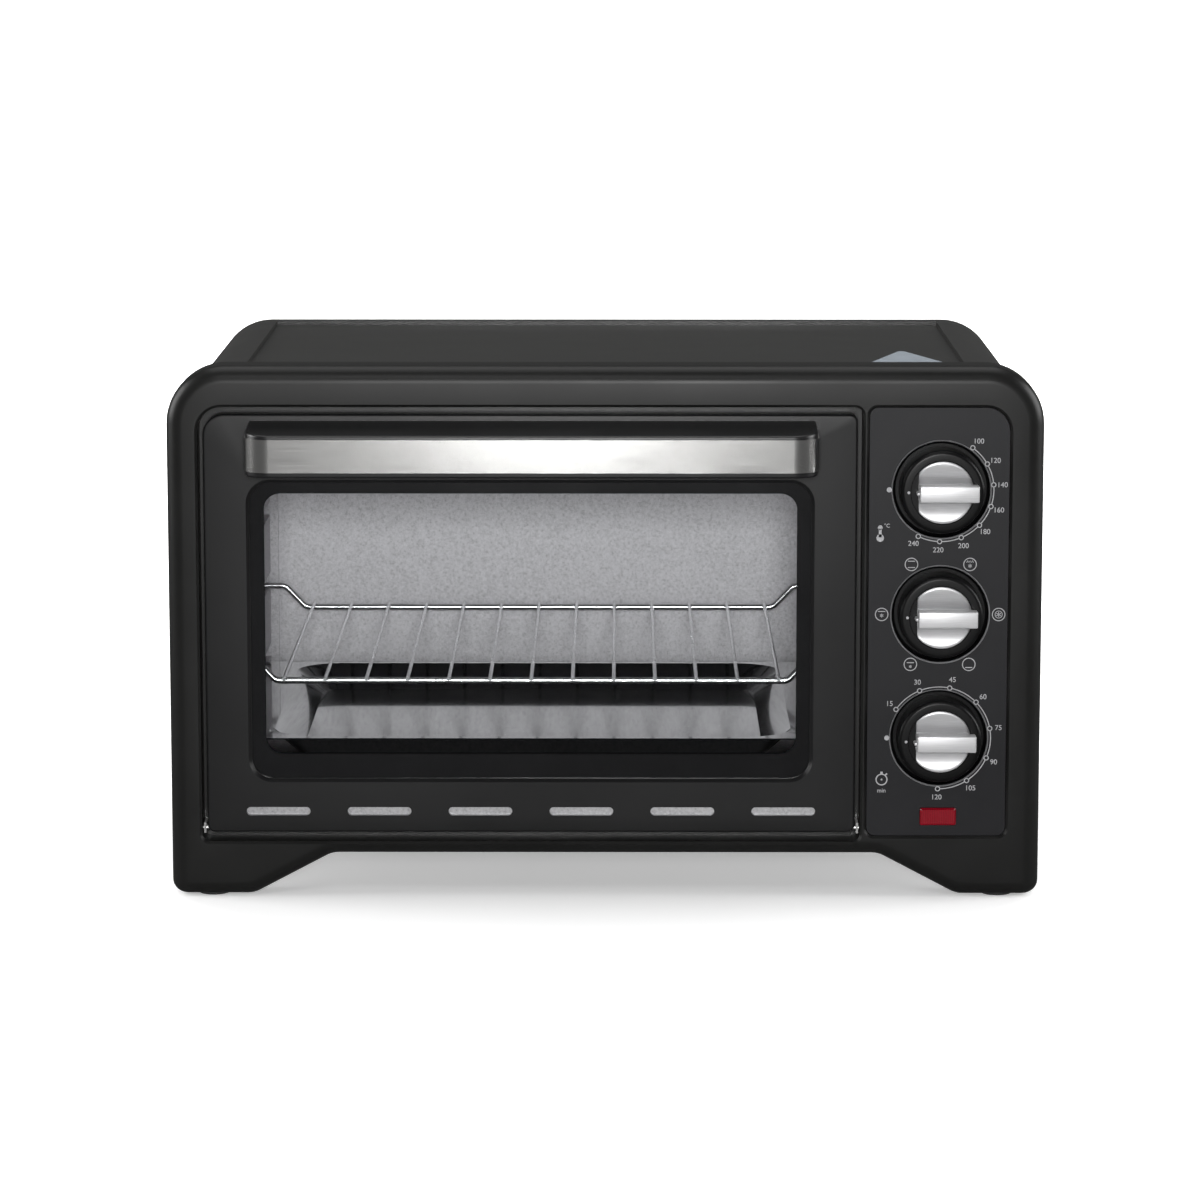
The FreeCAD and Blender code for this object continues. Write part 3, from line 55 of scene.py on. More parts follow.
# ------------------------------------------------------------------ materials
class Look:
    """A Principled material, with short calls for the patterns it is made of."""

    def __init__(self, name, colour, rough, metal=0.0, **sockets):
        self.material = bpy.data.materials.new(name)
        self.material.use_nodes = True
        self.tree = self.material.node_tree
        self.shader = self.tree.nodes["Principled BSDF"]
        self.colour = (*colour, 1.0)
        self.shader.inputs["Base Color"].default_value = self.colour
        self.shader.inputs["Roughness"].default_value = rough
        self.shader.inputs["Metallic"].default_value = metal
        for socket, value in sockets.items():
            self.shader.inputs[socket.replace("_", " ")].default_value = value
        self.rough = rough
        self.place = self.add("ShaderNodeTexCoord").outputs["Object"]

    def add(self, kind, **settings):
        """A new node of the material."""
        node = self.tree.nodes.new(kind)
        for name, value in settings.items():
            setattr(node, name, value)
        return node

    def link(self, source, target):
        self.tree.links.new(source, target)

    def noise(self, size, detail=2.0, stretch=(1, 1, 1), rough=0.5):
        """A noise whose grains are about size metres across, stretched along the axes."""
        scale = self.add("ShaderNodeMapping")
        scale.inputs["Scale"].default_value = [1 / part for part in stretch]
        self.link(self.place, scale.inputs["Vector"])
        noise = self.add("ShaderNodeTexNoise")
        noise.inputs["Scale"].default_value = 1 / size
        noise.inputs["Detail"].default_value = detail
        noise.inputs["Roughness"].default_value = rough
        self.link(scale.outputs["Vector"], noise.inputs["Vector"])
        return noise.outputs["Fac"]

    def spread(self, source, low, high, new_low=0.0, new_high=1.0):
        """Map a range of a pattern onto another range."""
        remap = self.add("ShaderNodeMapRange")
        for socket, value in zip(("From Min", "From Max", "To Min", "To Max"),
                                 (low, high, new_low, new_high)):
            remap.inputs[socket].default_value = value
        self.link(source, remap.inputs["Value"])
        return remap.outputs["Result"]

    def tint(self, factor, colour):
        """Mix the present base colour towards another one by a pattern."""
        mix = self.add("ShaderNodeMix", data_type="RGBA")
        target = self.shader.inputs["Base Color"]
        if target.is_linked:
            self.link(target.links[0].from_socket, mix.inputs["A"])
            self.tree.links.remove(target.links[0])
        else:
            mix.inputs[6].default_value = target.default_value
        mix.inputs[7].default_value = (*colour, 1.0)
        self.link(factor, mix.inputs["Factor"])
        self.link(mix.outputs[2], target)
        return self

    def vary(self, size, amount):
        """Lighter and darker patches of the base colour, and a little of the roughness."""
        patches = self.noise(size, 3.0)
        lighter = [min(1.0, part * (1 + amount)) for part in self.colour[:3]]
        self.tint(self.spread(patches, 0.35, 0.7), lighter)
        roughness = self.spread(patches, 0.3, 0.7,
                                self.rough * (1 - amount / 3), self.rough * (1 + amount / 3))
        self.link(roughness, self.shader.inputs["Roughness"])
        return self

    def bump(self, pattern, height):
        """Raise the surface by a pattern, height metres from low to high."""
        bump = self.add("ShaderNodeBump")
        bump.inputs["Strength"].default_value = 1.0
        bump.inputs["Distance"].default_value = height
        self.link(pattern, bump.inputs["Height"])
        target = self.shader.inputs["Normal"]
        if target.is_linked:
            self.link(target.links[0].from_socket, bump.inputs["Normal"])
            self.tree.links.remove(target.links[0])
        self.link(bump.outputs["Normal"], target)
        return self


def moulded(name, colour, rough, grain=0.35 * MM, depth=0.012 * MM, **sockets):
    """Spark-eroded black plastic: a fine even grain and faint patches of sheen."""
    look = Look(name, colour, rough, **sockets)
    look.vary(60 * MM, 0.25)
    return look.bump(look.noise(grain, 2.0), depth)


def painted(name, colour, rough, **sockets):
    """Baked paint on sheet steel, with a slight orange peel."""
    look = Look(name, colour, rough, **sockets)
    look.vary(90 * MM, 0.2)
    look.bump(look.noise(2.2 * MM, 1.0), 0.006 * MM)
    return look.bump(look.noise(0.3 * MM, 1.0), 0.004 * MM)


def steel(name, colour, rough, stretch, grain=0.25 * MM, depth=0.002 * MM, metal=1.0, **sockets):
    """Brushed metal, its scratches running along the stretched axis."""
    look = Look(name, colour, rough, metal, **sockets)
    scratches = look.noise(grain, 3.0, stretch)
    darker = [part * 0.8 for part in colour]
    look.tint(look.spread(scratches, 0.3, 0.75), darker)
    roughness = look.spread(scratches, 0.3, 0.7, rough * 0.8, rough * 1.25)
    look.link(roughness, look.shader.inputs["Roughness"])
    return look.bump(scratches, depth)


def aluminised(name, colour, rough, metal):
    """Hot-dipped steel sheet: fine pale and dark speckle and soft stains."""
    look = Look(name, colour, rough, metal)
    look.vary(70 * MM, 0.10)
    speckle = look.noise(1.6 * MM, 4.0, rough=0.8)
    look.tint(look.spread(speckle, 0.50, 0.72), [min(1.0, part * 1.30) for part in colour])
    look.tint(look.spread(speckle, 0.48, 0.28), [part * 0.62 for part in colour])
    return look.bump(speckle, 0.02 * MM)


def make_looks():
    """One material for each of the record's slots."""
    looks = {
        "frame_plastic": moulded("frame_plastic", (0.0075, 0.0075, 0.0072), 0.36, Specular_IOR_Level=0.24),
        "cover_paint": painted("cover_paint", (0.0165, 0.0165, 0.0158), 0.32, Specular_IOR_Level=0.36),
        "panel_plastic": moulded("panel_plastic", (0.0062, 0.0062, 0.0080), 0.42, 0.5 * MM, 0.01 * MM,
                                 Specular_IOR_Level=0.28),
        "door_plastic": painted("door_plastic", (0.0072, 0.0072, 0.0075), 0.34, Specular_IOR_Level=0.28),
        "handle_plastic": moulded("handle_plastic", (0.0065, 0.0065, 0.0070), 0.32),
        "knob_plastic": moulded("knob_plastic", (0.0030, 0.0030, 0.0032), 0.34, 0.3 * MM, 0.006 * MM,
                                Specular_IOR_Level=0.20),
        "switch_plastic": moulded("switch_plastic", (0.05, 0.045, 0.04), 0.5),
        "steel_sheet": aluminised("steel_sheet", (0.55, 0.55, 0.55), 0.4, 0.9),
        "cavity_steel": aluminised("cavity_steel", (0.70, 0.675, 0.70), 0.5, 0.35),
        "liner_steel": aluminised("liner_steel", (0.42, 0.42, 0.43), 0.42, 0.9),
        "hinge_steel": steel("hinge_steel", (0.72, 0.72, 0.71), 0.28, (1, 30, 1)),
        "screw_steel": steel("screw_steel", (0.62, 0.62, 0.60), 0.32, (1, 12, 1)),
        "handle_steel": steel("handle_steel", (0.80, 0.795, 0.78), 0.19, (120, 1, 1), 0.25 * MM, 0.004 * MM),
        "knob_cap": steel("knob_cap", (0.66, 0.66, 0.67), 0.40, (60, 60, 1), 0.2 * MM, metal=0.62),
        "chrome_wire": steel("chrome_wire", (0.86, 0.86, 0.87), 0.24, (1, 40, 1), 0.3 * MM, 0.001 * MM),
        "heater_metal": steel("heater_metal", (0.20, 0.19, 0.18), 0.45, (6, 1, 1)),
        "black_enamel": painted("black_enamel", (0.008, 0.008, 0.009), 0.10, Coat_Weight=1.0,
                                Coat_Roughness=0.04),
        "lamp_red": Look("lamp_red", (0.20, 0.003, 0.010), 0.16, Coat_Weight=0.5),
        "rubber": moulded("rubber", (0.02, 0.02, 0.02), 0.8),
        "ceramic": painted("ceramic", (0.78, 0.75, 0.68), 0.3),
        "label_foil": Look("label_foil", (0.30, 0.34, 0.38), 0.35, 0.2),
    }
    lamp = looks["lamp_red"]
    ribs = lamp.add("ShaderNodeTexWave", bands_direction="X")
    ribs.inputs["Scale"].default_value = 260
    lamp.link(lamp.place, ribs.inputs["Vector"])
    lamp.tint(ribs.outputs["Fac"], (0.16, 0.002, 0.008)).bump(ribs.outputs["Fac"], 0.05 * MM)
    foil = looks["label_foil"]
    foil.vary(12 * MM, 0.12).bump(foil.noise(3 * MM), 0.01 * MM)
    heat = looks["heater_metal"]
    heat.tint(heat.spread(heat.noise(40 * MM, 2.0), 0.45, 0.7), (0.10, 0.065, 0.05))
    return looks


LOOKS = make_looks()


def window_box():
    """The clear part of the glass, inside its printed border."""
    border_side, border_low, border_top = 15 * MM, 20.7 * MM, 13.6 * MM
    low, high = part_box("door_glass")
    middle = (low.y + high.y) / 2
    return (Vector((low.x + border_side, middle, low.z + border_low)),
            Vector((high.x - border_side, middle, high.z - border_top)))


def clear_glass():
    """Tempered door glass: clear inside a border of black ink, glossier towards a grazing view."""
    look = Look("door_glass", (0.006, 0.006, 0.0065), 0.12).vary(30 * MM, 0.2)
    window_low, window_high = window_box()
    centre = (window_low + window_high) / 2
    radius = 9 * MM
    half = (window_high - window_low) / 2 - Vector((radius, 0, radius))
    offset = look.add("ShaderNodeVectorMath", operation="SUBTRACT")
    offset.inputs[1].default_value = centre
    look.link(look.place, offset.inputs[0])
    sides = look.add("ShaderNodeVectorMath", operation="ABSOLUTE")
    look.link(offset.outputs[0], sides.inputs[0])
    inset = look.add("ShaderNodeVectorMath", operation="SUBTRACT")
    inset.inputs[1].default_value = (half.x, 1.0, half.z)
    look.link(sides.outputs[0], inset.inputs[0])
    outside = look.add("ShaderNodeVectorMath", operation="MAXIMUM")
    look.link(inset.outputs[0], outside.inputs[0])
    length = look.add("ShaderNodeVectorMath", operation="LENGTH")
    look.link(outside.outputs[0], length.inputs[0])
    border = look.add("ShaderNodeMath", operation="GREATER_THAN")
    border.inputs[1].default_value = radius
    look.link(length.outputs["Value"], border.inputs[0])
    gloss = look.add("ShaderNodeBsdfGlossy")
    gloss.inputs["Roughness"].default_value = 0.02
    clear = look.add("ShaderNodeBsdfTransparent")
    clear.inputs["Color"].default_value = (0.93, 0.94, 0.94, 1)
    facing = look.add("ShaderNodeLayerWeight")
    facing.inputs["Blend"].default_value = 0.12
    pane = look.add("ShaderNodeMixShader")
    look.link(facing.outputs["Facing"], pane.inputs[0])
    look.link(clear.outputs[0], pane.inputs[1])
    look.link(gloss.outputs[0], pane.inputs[2])
    whole = look.add("ShaderNodeMixShader")
    look.link(border.outputs[0], whole.inputs[0])
    look.link(pane.outputs[0], whole.inputs[1])
    look.link(look.shader.outputs[0], whole.inputs[2])
    look.link(whole.outputs[0], look.tree.nodes["Material Output"].inputs["Surface"])
    return look


LOOKS["door_glass"] = clear_glass()
PRINT = Look("panel_print", (0.30, 0.30, 0.31), 0.5).vary(2 * MM, 0.2)  # pale pad-printed ink


# ------------------------------------------------------------- CAD nodes' shading
def soft_shading(angle):
    """A modifier that joins a CAD mesh's facets and shades it smooth up to an edge angle."""
    group = bpy.data.node_groups.new(f"soft_{angle}", "GeometryNodeTree")
    group.interface.new_socket("Geometry", in_out="INPUT", socket_type="NodeSocketGeometry")
    group.interface.new_socket("Geometry", in_out="OUTPUT", socket_type="NodeSocketGeometry")
    source = group.nodes.new("NodeGroupInput")
    drop = group.nodes.new("GeometryNodeRemoveAttribute")
    drop.inputs["Name"].default_value = "custom_normal"
    weld = group.nodes.new("GeometryNodeMergeByDistance")
    weld.inputs["Distance"].default_value = 0.001 * MM
    smooth = group.nodes.new("GeometryNodeSetShadeSmooth")
    edge = group.nodes.new("GeometryNodeInputMeshEdgeAngle")
    sharp = group.nodes.new("FunctionNodeCompare")
    sharp.operation = "GREATER_THAN"
    sharp.inputs[1].default_value = math.radians(angle)
    crease = group.nodes.new("GeometryNodeSetShadeSmooth")
    crease.domain = "EDGE"
    crease.inputs["Shade Smooth"].default_value = False
    result = group.nodes.new("NodeGroupOutput")
    for come, go in ((source.outputs[0], drop.inputs["Geometry"]),
                     (drop.outputs[0], weld.inputs["Geometry"]),
                     (weld.outputs[0], smooth.inputs["Geometry"]),
                     (smooth.outputs[0], crease.inputs["Geometry"]),
                     (edge.outputs["Unsigned Angle"], sharp.inputs[0]),
                     (sharp.outputs["Result"], crease.inputs["Selection"]),
                     (crease.outputs[0], result.inputs[0])):
        group.links.new(come, go)
    return group


SOFT = soft_shading(28)


def dress_cad_nodes():
    """Give every CAD node its slot's material and soft shading."""
    for part in frame["record"]["subparts"]:
        node = NODES[part["node"]]
        node.data.materials.clear()
        node.data.materials.append(LOOKS[part["material_slot"]].material)
        node.modifiers.new("soft shading", "NODES").node_group = SOFT


dress_cad_nodes()


# ------------------------------------------------------------- mesh helpers
def piece(name, mesh, body, slot, look=None, smooth=True):
    """Put a finished mesh into the scene, riding on a body; look overrides the slot's material."""
    thing = bpy.data.objects.new(name, mesh)
    bpy.context.scene.collection.objects.link(thing)
    mesh.materials.append((look or LOOKS[slot]).material)
    if smooth:
        mesh.shade_smooth()
        mesh.set_sharp_from_angle(angle=math.radians(35))
    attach(thing, body)
    return thing


def mesh_from(name, build):
    """A mesh made by a function that fills a bmesh."""
    work = bmesh.new()
    build(work)
    bmesh.ops.recalc_face_normals(work, faces=work.faces)
    mesh = bpy.data.meshes.new(name)
    work.to_mesh(mesh)
    work.free()
    return mesh


def joined(parts):
    """Join meshes into the first one."""
    work = bmesh.new()
    for mesh in parts:
        work.from_mesh(mesh)
    result = parts[0]
    work.to_mesh(result)
    work.free()
    for mesh in parts[1:]:
        bpy.data.meshes.remove(mesh)
    return result


def lathe(name, centre, profile, steps=128):
    """Turn a profile of (radius, depth) about an axis along Y."""
    def build(work):
        rings = []
        for radius, depth in profile:
            if radius == 0:
                rings.append([work.verts.new((centre.x, depth, centre.z))])
                continue
            rings.append([work.verts.new((centre.x + radius * math.cos(turn), depth,
                                          centre.z + radius * math.sin(turn)))
                          for turn in (2 * math.pi * i / steps for i in range(steps))])
        for inner, outer in zip(rings, rings[1:]):
            for i in range(steps):
                j = (i + 1) % steps
                corners = [inner[i % len(inner)], inner[j % len(inner)],
                           outer[j % len(outer)], outer[i % len(outer)]]
                work.faces.new(list(dict.fromkeys(corners)))
    return mesh_from(name, build)


def rounded(start, end, corner, steps=8):
    """Points of a quarter-round from start to end, bulging towards corner."""
    result = []
    for i in range(steps + 1):
        turn = math.pi / 2 * i / steps
        a, b = 1 - math.sin(turn), 1 - math.cos(turn)
        result.append((corner[0] + (start[0] - corner[0]) * a + (end[0] - corner[0]) * b,
                       corner[1] + (start[1] - corner[1]) * a + (end[1] - corner[1]) * b))
    return result


def soft_block(name, low, high, radius):
    """A block between two corners with rounded edges."""
    def build(work):
        bmesh.ops.create_cube(work, size=1.0)
        size = high - low
        for vert in work.verts:
            vert.co = Vector((low[i] + (vert.co[i] + 0.5) * size[i] for i in range(3)))
        bmesh.ops.bevel(work, geom=work.edges[:], offset=radius, segments=4, profile=0.5,
                        affect="EDGES", clamp_overlap=True)
    return mesh_from(name, build)


# ------------------------------------------------------------------ knobs
GRIP_HIGH = 8.7 * MM
CAP_RADIUS = 16.4 * MM
CAP_FLAT = 12.6 * MM      # from the knob's centre to the flat on the pointer side
SCOOP_DEEP = 4.4 * MM
SCOOP_CURVE = 2.1
WELL_DEEP = 5 * MM        # the well in the skirt that holds the cap
SHOULDER = 2.2 * MM
SKIRT_WALL = 3 * MM
SKIRT_ROOM = 8 * MM       # from the skirt's front to the room behind it
BORE = 3.4 * MM


def knob_centre(knob):
    """The middle of a knob's skirt."""
    low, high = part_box(f"{knob}_knob")
    return (low + high) / 2


def make_skirt(knob):
    """The black knob: a satin skirt with a rounded shoulder and a well for the cap."""
    low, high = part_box(f"{knob}_knob")
    centre = knob_centre(knob)
    radius = (high.x - low.x) / 2
    front, back = low.y, high.y
    well = CAP_RADIUS + 0.25 * MM
    draft = radius - 0.4 * MM
    inside = radius - SKIRT_WALL
    room = front + SKIRT_ROOM
    profile = [(0, front + WELL_DEEP), (well, front + WELL_DEEP)]
    profile += [(well, front + 0.4 * MM), (CAP_RADIUS + 0.6 * MM, front)]
    profile += rounded((radius - SHOULDER - 0.4 * MM, front), (draft, front + SHOULDER), (draft, front))
    profile += [(radius, back - 0.6 * MM), (radius - 0.3 * MM, back), (inside, back),
                (inside, room), (BORE, room), (BORE, back - 1 * MM)]
    mesh = lathe(f"{knob}_skirt", centre, profile)

    def lid(work):
        """The black segment beside the flat of the cap."""
        half = math.sqrt(CAP_RADIUS ** 2 - CAP_FLAT ** 2)
        edge = CAP_RADIUS + 0.3 * MM
        rim = []
        first = math.atan2(half, -CAP_FLAT)
        last = 2 * math.pi - first
        for i in range(25):
            turn = first + (last - first) * i / 24
            rim.append((centre.x + edge * math.cos(turn), centre.z + edge * math.sin(turn)))
        top = [work.verts.new((x, front + 0.15 * MM, z)) for x, z in rim]
        bottom = [work.verts.new((x, front + WELL_DEEP, z)) for x, z in rim]
        work.faces.new(top)
        for i in range(len(rim)):
            j = (i + 1) % len(rim)
            work.faces.new([top[i], top[j], bottom[j], bottom[i]])
    mesh = joined([mesh, mesh_from("lid", lid)])
    skirt = piece(f"{knob}_skirt", mesh, f"{knob}_dial", "knob_plastic")
    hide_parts(f"{knob}_knob")


def cap_depth(up, front):
    """Depth of the cap's face: it curves in from the rim to the foot of the grip bar."""
    run = (CAP_RADIUS - abs(up)) / (CAP_RADIUS - GRIP_HIGH / 2)
    return front + SCOOP_DEEP * min(1.0, run) ** SCOOP_CURVE


def make_cap(knob):
    """The silver cap: a disc cut flat at the pointer side, finger scoops and the grip bar."""
    cap_low, cap_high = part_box(f"{knob}_cap")
    skirt_low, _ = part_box(f"{knob}_knob")
    centre = knob_centre(knob)
    face = skirt_low.y - 0.6 * MM
    rings, spokes = 26, 112
    edge_drop = 0.35 * MM
    foot = face + 5.6 * MM

    def build(work):
        """A polar grid squeezed against the flat, and a rim that goes down into the well."""
        grid = []
        for i in range(1, rings + 1):
            radius = CAP_RADIUS * i / rings
            ring = []
            for j in range(spokes):
                turn = 2 * math.pi * j / spokes
                across = max(radius * math.cos(turn), -CAP_FLAT)
                up = radius * math.sin(turn)
                ring.append((across, up))
            grid.append(ring)
        middle = work.verts.new((centre.x, cap_depth(0, face), centre.z))
        rows = []
        for i, ring in enumerate(grid, start=1):
            drop = edge_drop if i == rings else 0.0
            rows.append([work.verts.new((centre.x + a, cap_depth(u, face) + drop, centre.z + u))
                         for a, u in ring])
        rows.append([work.verts.new((centre.x + a, foot, centre.z + u)) for a, u in grid[-1]])
        for j in range(spokes):
            work.faces.new([middle, rows[0][j], rows[0][(j + 1) % spokes]])
        for inner, outer in zip(rows, rows[1:]):
            for j in range(spokes):
                k = (j + 1) % spokes
                work.faces.new([inner[j], inner[k], outer[k], outer[j]])
    disc = mesh_from(f"{knob}_cap_face", build)
    half = GRIP_HIGH / 2
    bar = soft_block("bar", Vector((centre.x - CAP_FLAT, cap_low.y, centre.z - half)),
                     Vector((cap_high.x, face + 0.3 * MM, centre.z + half)), 0.7 * MM)
    slim = half - 0.3 * MM
    root = soft_block("root",
                      Vector((centre.x - CAP_FLAT + 0.2 * MM, face - 2 * MM, centre.z - slim)),
                      Vector((centre.x + CAP_RADIUS - 1.2 * MM, face + 5 * MM, centre.z + slim)), 0.4 * MM)
    cap = piece(f"{knob}_cap_silver", joined([disc, bar, root]), f"{knob}_dial", "knob_cap")
    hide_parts(f"{knob}_cap")

    pointer = lathe(f"{knob}_pointer", Vector((centre.x - CAP_FLAT - 0.6 * MM, 0, centre.z)),
                    [(0, cap_low.y + 1.2 * MM), (0.7 * MM, cap_low.y + 1.5 * MM),
                     (1.0 * MM, cap_low.y + 2.2 * MM), (1.0 * MM, face + 0.4 * MM),
                     (0, face + 0.6 * MM)], 32)
    piece(f"{knob}_pointer", pointer, f"{knob}_dial", "knob_cap")
    dot = lathe(f"{knob}_index_dot", Vector((centre.x - CAP_FLAT - 5.4 * MM, 0, centre.z)),
                [(0, skirt_low.y - 0.05 * MM), (0.75 * MM, skirt_low.y - 0.03 * MM),
                 (0.75 * MM, skirt_low.y + 0.2 * MM), (0, skirt_low.y + 0.2 * MM)], 24)
    piece(f"{knob}_index_dot", dot, f"{knob}_dial", "knob_cap", PRINT)


for knob in KNOB_NAMES:
    make_skirt(knob)
    make_cap(knob)


# ------------------------------------------------------------------ panel print
PANEL_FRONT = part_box("control_panel")[0].y
INK = 0.05 * MM           # half the thickness of the print
SCALE_RADIUS = 27.6 * MM
SCALE_LINE = 0.5 * MM
SCALE_GAP = 3.0           # degrees from a mark to the end of its arc
MARK_RADIUS = 1.15 * MM
OFF_DOT = 1.35 * MM
LABEL_RADIUS = 32.2 * MM
LABEL_TURN = 1.0
LABEL_HIGH = 2.8 * MM
LETTER_SCALE = 1.38       # font size for a capital of height 1
ICON_ORBIT = 31 * MM
ICON_RADIUS = 3.35 * MM
THIN_LINE = 0.45 * MM
FINE_LINE = 0.4 * MM


def clock(centre, radius, degrees):
    """The place at a clock angle, from 12 o'clock to the right."""
    turn = math.radians(degrees)
    return Vector((centre.x + radius * math.sin(turn), 0, centre.z + radius * math.cos(turn)))


def strip(points, width, closed=False):
    """A thin printed line along points in the panel's plane."""
    def build(work):
        count = len(points)
        sides = []
        for i, point in enumerate(points):
            before = points[i - 1] if i or closed else point
            after = points[(i + 1) % count] if i + 1 < count or closed else point
            along = (after - before).normalized()
            out = Vector((along.z, 0, -along.x)) * width / 2
            sides.append([work.verts.new((p.x, PANEL_FRONT + depth, p.z))
                          for p in (point + out, point - out) for depth in (-INK, INK)])
        for i in range(count if closed else count - 1):
            a, b = sides[i], sides[(i + 1) % count]
            for k, l in ((0, 2), (2, 3), (3, 1), (1, 0)):
                work.faces.new([a[k], b[k], b[l], a[l]])
        if not closed:
            for end in (sides[0], sides[-1]):
                work.faces.new([end[0], end[2], end[3], end[1]])
    return mesh_from("line", build)


def arc_line(centre, radius, start, end, width, steps):
    """An arc between two clock angles; a whole turn is closed."""
    whole = abs(end - start) >= 360
    count = steps if whole else steps + 1
    points = [clock(centre, radius, start + (end - start) * i / steps) for i in range(count)]
    return strip(points, width, whole)


def ring(centre, radius, width):
    """A printed circle."""
    return arc_line(centre, radius, 0, 360, width, 32)


def disc(centre, radius):
    """A printed dot."""
    return lathe("dot", Vector((centre.x, 0, centre.z)),
                 [(0, PANEL_FRONT - INK), (radius, PANEL_FRONT - INK), (radius, PANEL_FRONT + INK),
                  (0, PANEL_FRONT + INK)], 32)


def line(a, b, width=THIN_LINE):
    """A straight printed line."""
    return strip([a, b], width)


def words(text, centre, size):
    """Printed characters, centred on a point."""
    font = bpy.data.curves.new("text", "FONT")
    font.body = text
    font.size = size * LETTER_SCALE
    font.align_x = "CENTER"
    font.align_y = "CENTER"
    font.extrude = INK
    font.offset = 0.02 * MM
    holder = bpy.data.objects.new("text", font)
    bpy.context.scene.collection.objects.link(holder)
    bpy.context.view_layer.update()
    finished = holder.evaluated_get(bpy.context.evaluated_depsgraph_get())
    mesh = bpy.data.meshes.new_from_object(finished)
    bpy.data.objects.remove(holder)
    upright = Matrix.Rotation(math.pi / 2, 4, "X")
    mesh.transform(Matrix.Translation((centre.x, PANEL_FRONT, centre.z)) @ upright)
    mesh.materials.clear()
    return mesh


def scale_print(knob, first_angle, step, labels):
    """An arc with a small ring at each mark and its number outside, and a dot for off."""
    centre = knob_centre(knob)
    parts = []
    for index, label in enumerate(labels):
        angle = first_angle + step * index
        parts.append(ring(clock(centre, SCALE_RADIUS, angle), MARK_RADIUS, SCALE_LINE))
        parts.append(words(label, clock(centre, LABEL_RADIUS, angle + LABEL_TURN), LABEL_HIGH))
        if index + 1 < len(labels):
            parts.append(arc_line(centre, SCALE_RADIUS, angle + SCALE_GAP, angle + step - SCALE_GAP,
                                  SCALE_LINE, 14))
    parts.append(disc(clock(centre, SCALE_RADIUS, 270), OFF_DOT))
    piece(f"{knob}_scale", joined(parts), "housing", "panel_plastic", PRINT, smooth=False)


def at(centre, across, up):
    """A point beside another, in millimetres."""
    return Vector((centre.x + across * MM, 0, centre.z + up * MM))


def heat_line(centre, up):
    """A rod, as a line across a symbol."""
    return line(at(centre, -1.9, up), at(centre, 1.9, up))


def zigzag(centre, up):
    """A grill element, as a zigzag across a symbol."""
    points = [at(centre, -1.8 + 0.6 * i, up + (0.5 if i % 2 else -0.5)) for i in range(7)]
    return strip(points, FINE_LINE)


def star(centre, up, size):
    """A fan, as three crossed lines."""
    middle = at(centre, 0, up)
    return [line(clock(middle, size * MM, turn), clock(middle, size * MM, turn + 180), FINE_LINE)
            for turn in (0, 60, 120)]


def selector_print():
    """Six generic heating symbols in small circles round the middle knob."""
    hub = knob_centre("selector")
    icons = {
        330: lambda c: [heat_line(c, 1.7), heat_line(c, -1.7)],
        30: lambda c: [zigzag(c, 1.5), *star(c, -0.8, 1.1)],
        90: lambda c: [*star(c, 0, 1.4), ring(c, 1.9 * MM, 0.35 * MM)],
        150: lambda c: [heat_line(c, -1.7)],
        210: lambda c: [heat_line(c, 0.9), *star(c, -1.2, 0.8)],
        270: lambda c: [heat_line(c, 1.6), *star(c, -0.6, 1.0)],
    }
    parts = []
    for angle, draw in icons.items():
        centre = clock(hub, ICON_ORBIT, angle)
        parts.append(ring(centre, ICON_RADIUS, THIN_LINE))
        parts += draw(centre)
    piece("selector_symbols", joined(parts), "housing", "panel_plastic", PRINT, smooth=False)


def sign_print():
    """A thermometer beside the upper scale and a stopwatch beside the lower one."""
    warm = knob_centre("thermostat") + Vector((-32.2 * MM, 0, -23.8 * MM))
    parts = [disc(at(warm, 0, -1.9), 2.0 * MM), line(at(warm, 0, -1.5), at(warm, 0, 4.2), 1.5 * MM),
             ring(at(warm, 0, 3.6), 1.0 * MM, 0.5 * MM), words("°C", at(warm, 3.6, 4.6), 2.1 * MM)]
    watch = knob_centre("timer") + Vector((-30.2 * MM, 0, -22.6 * MM))
    parts += [ring(watch, 2.9 * MM, 0.6 * MM), line(watch, at(watch, 1.2, 1.2)), disc(watch, 0.5 * MM),
              line(at(watch, 0, 3.2), at(watch, 0, 4.3), 1.2 * MM),
              line(at(watch, 2.1, 2.5), at(watch, 2.9, 3.3), 0.8 * MM),
              words("min", at(watch, 0, -6.0), 2.3 * MM)]
    piece("panel_signs", joined(parts), "housing", "panel_plastic", PRINT, smooth=False)


scale_print("thermostat", 35.8, 24.3, ["100", "120", "140", "160", "180", "200", "220", "240"])
scale_print("timer", 304, 33.8, ["15", "30", "45", "60", "75", "90", "105", "120"])
selector_print()
sign_print()


# ------------------------------------------------------------------ dishes
# painted highlight: a lighter grey for the thin bevelled rim round each knob's dish, where light catches it
RIM_HIGHLIGHT = moulded("painted_rim_highlight", (0.16, 0.16, 0.165), 0.25)
DISH_INNER = 25.7 * MM
DISH_OUTER = 26.5 * MM
DISH_HOLE = 8 * MM
DISH_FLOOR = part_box("timer_knob")[1].y + 0.5 * MM   # just behind the knobs


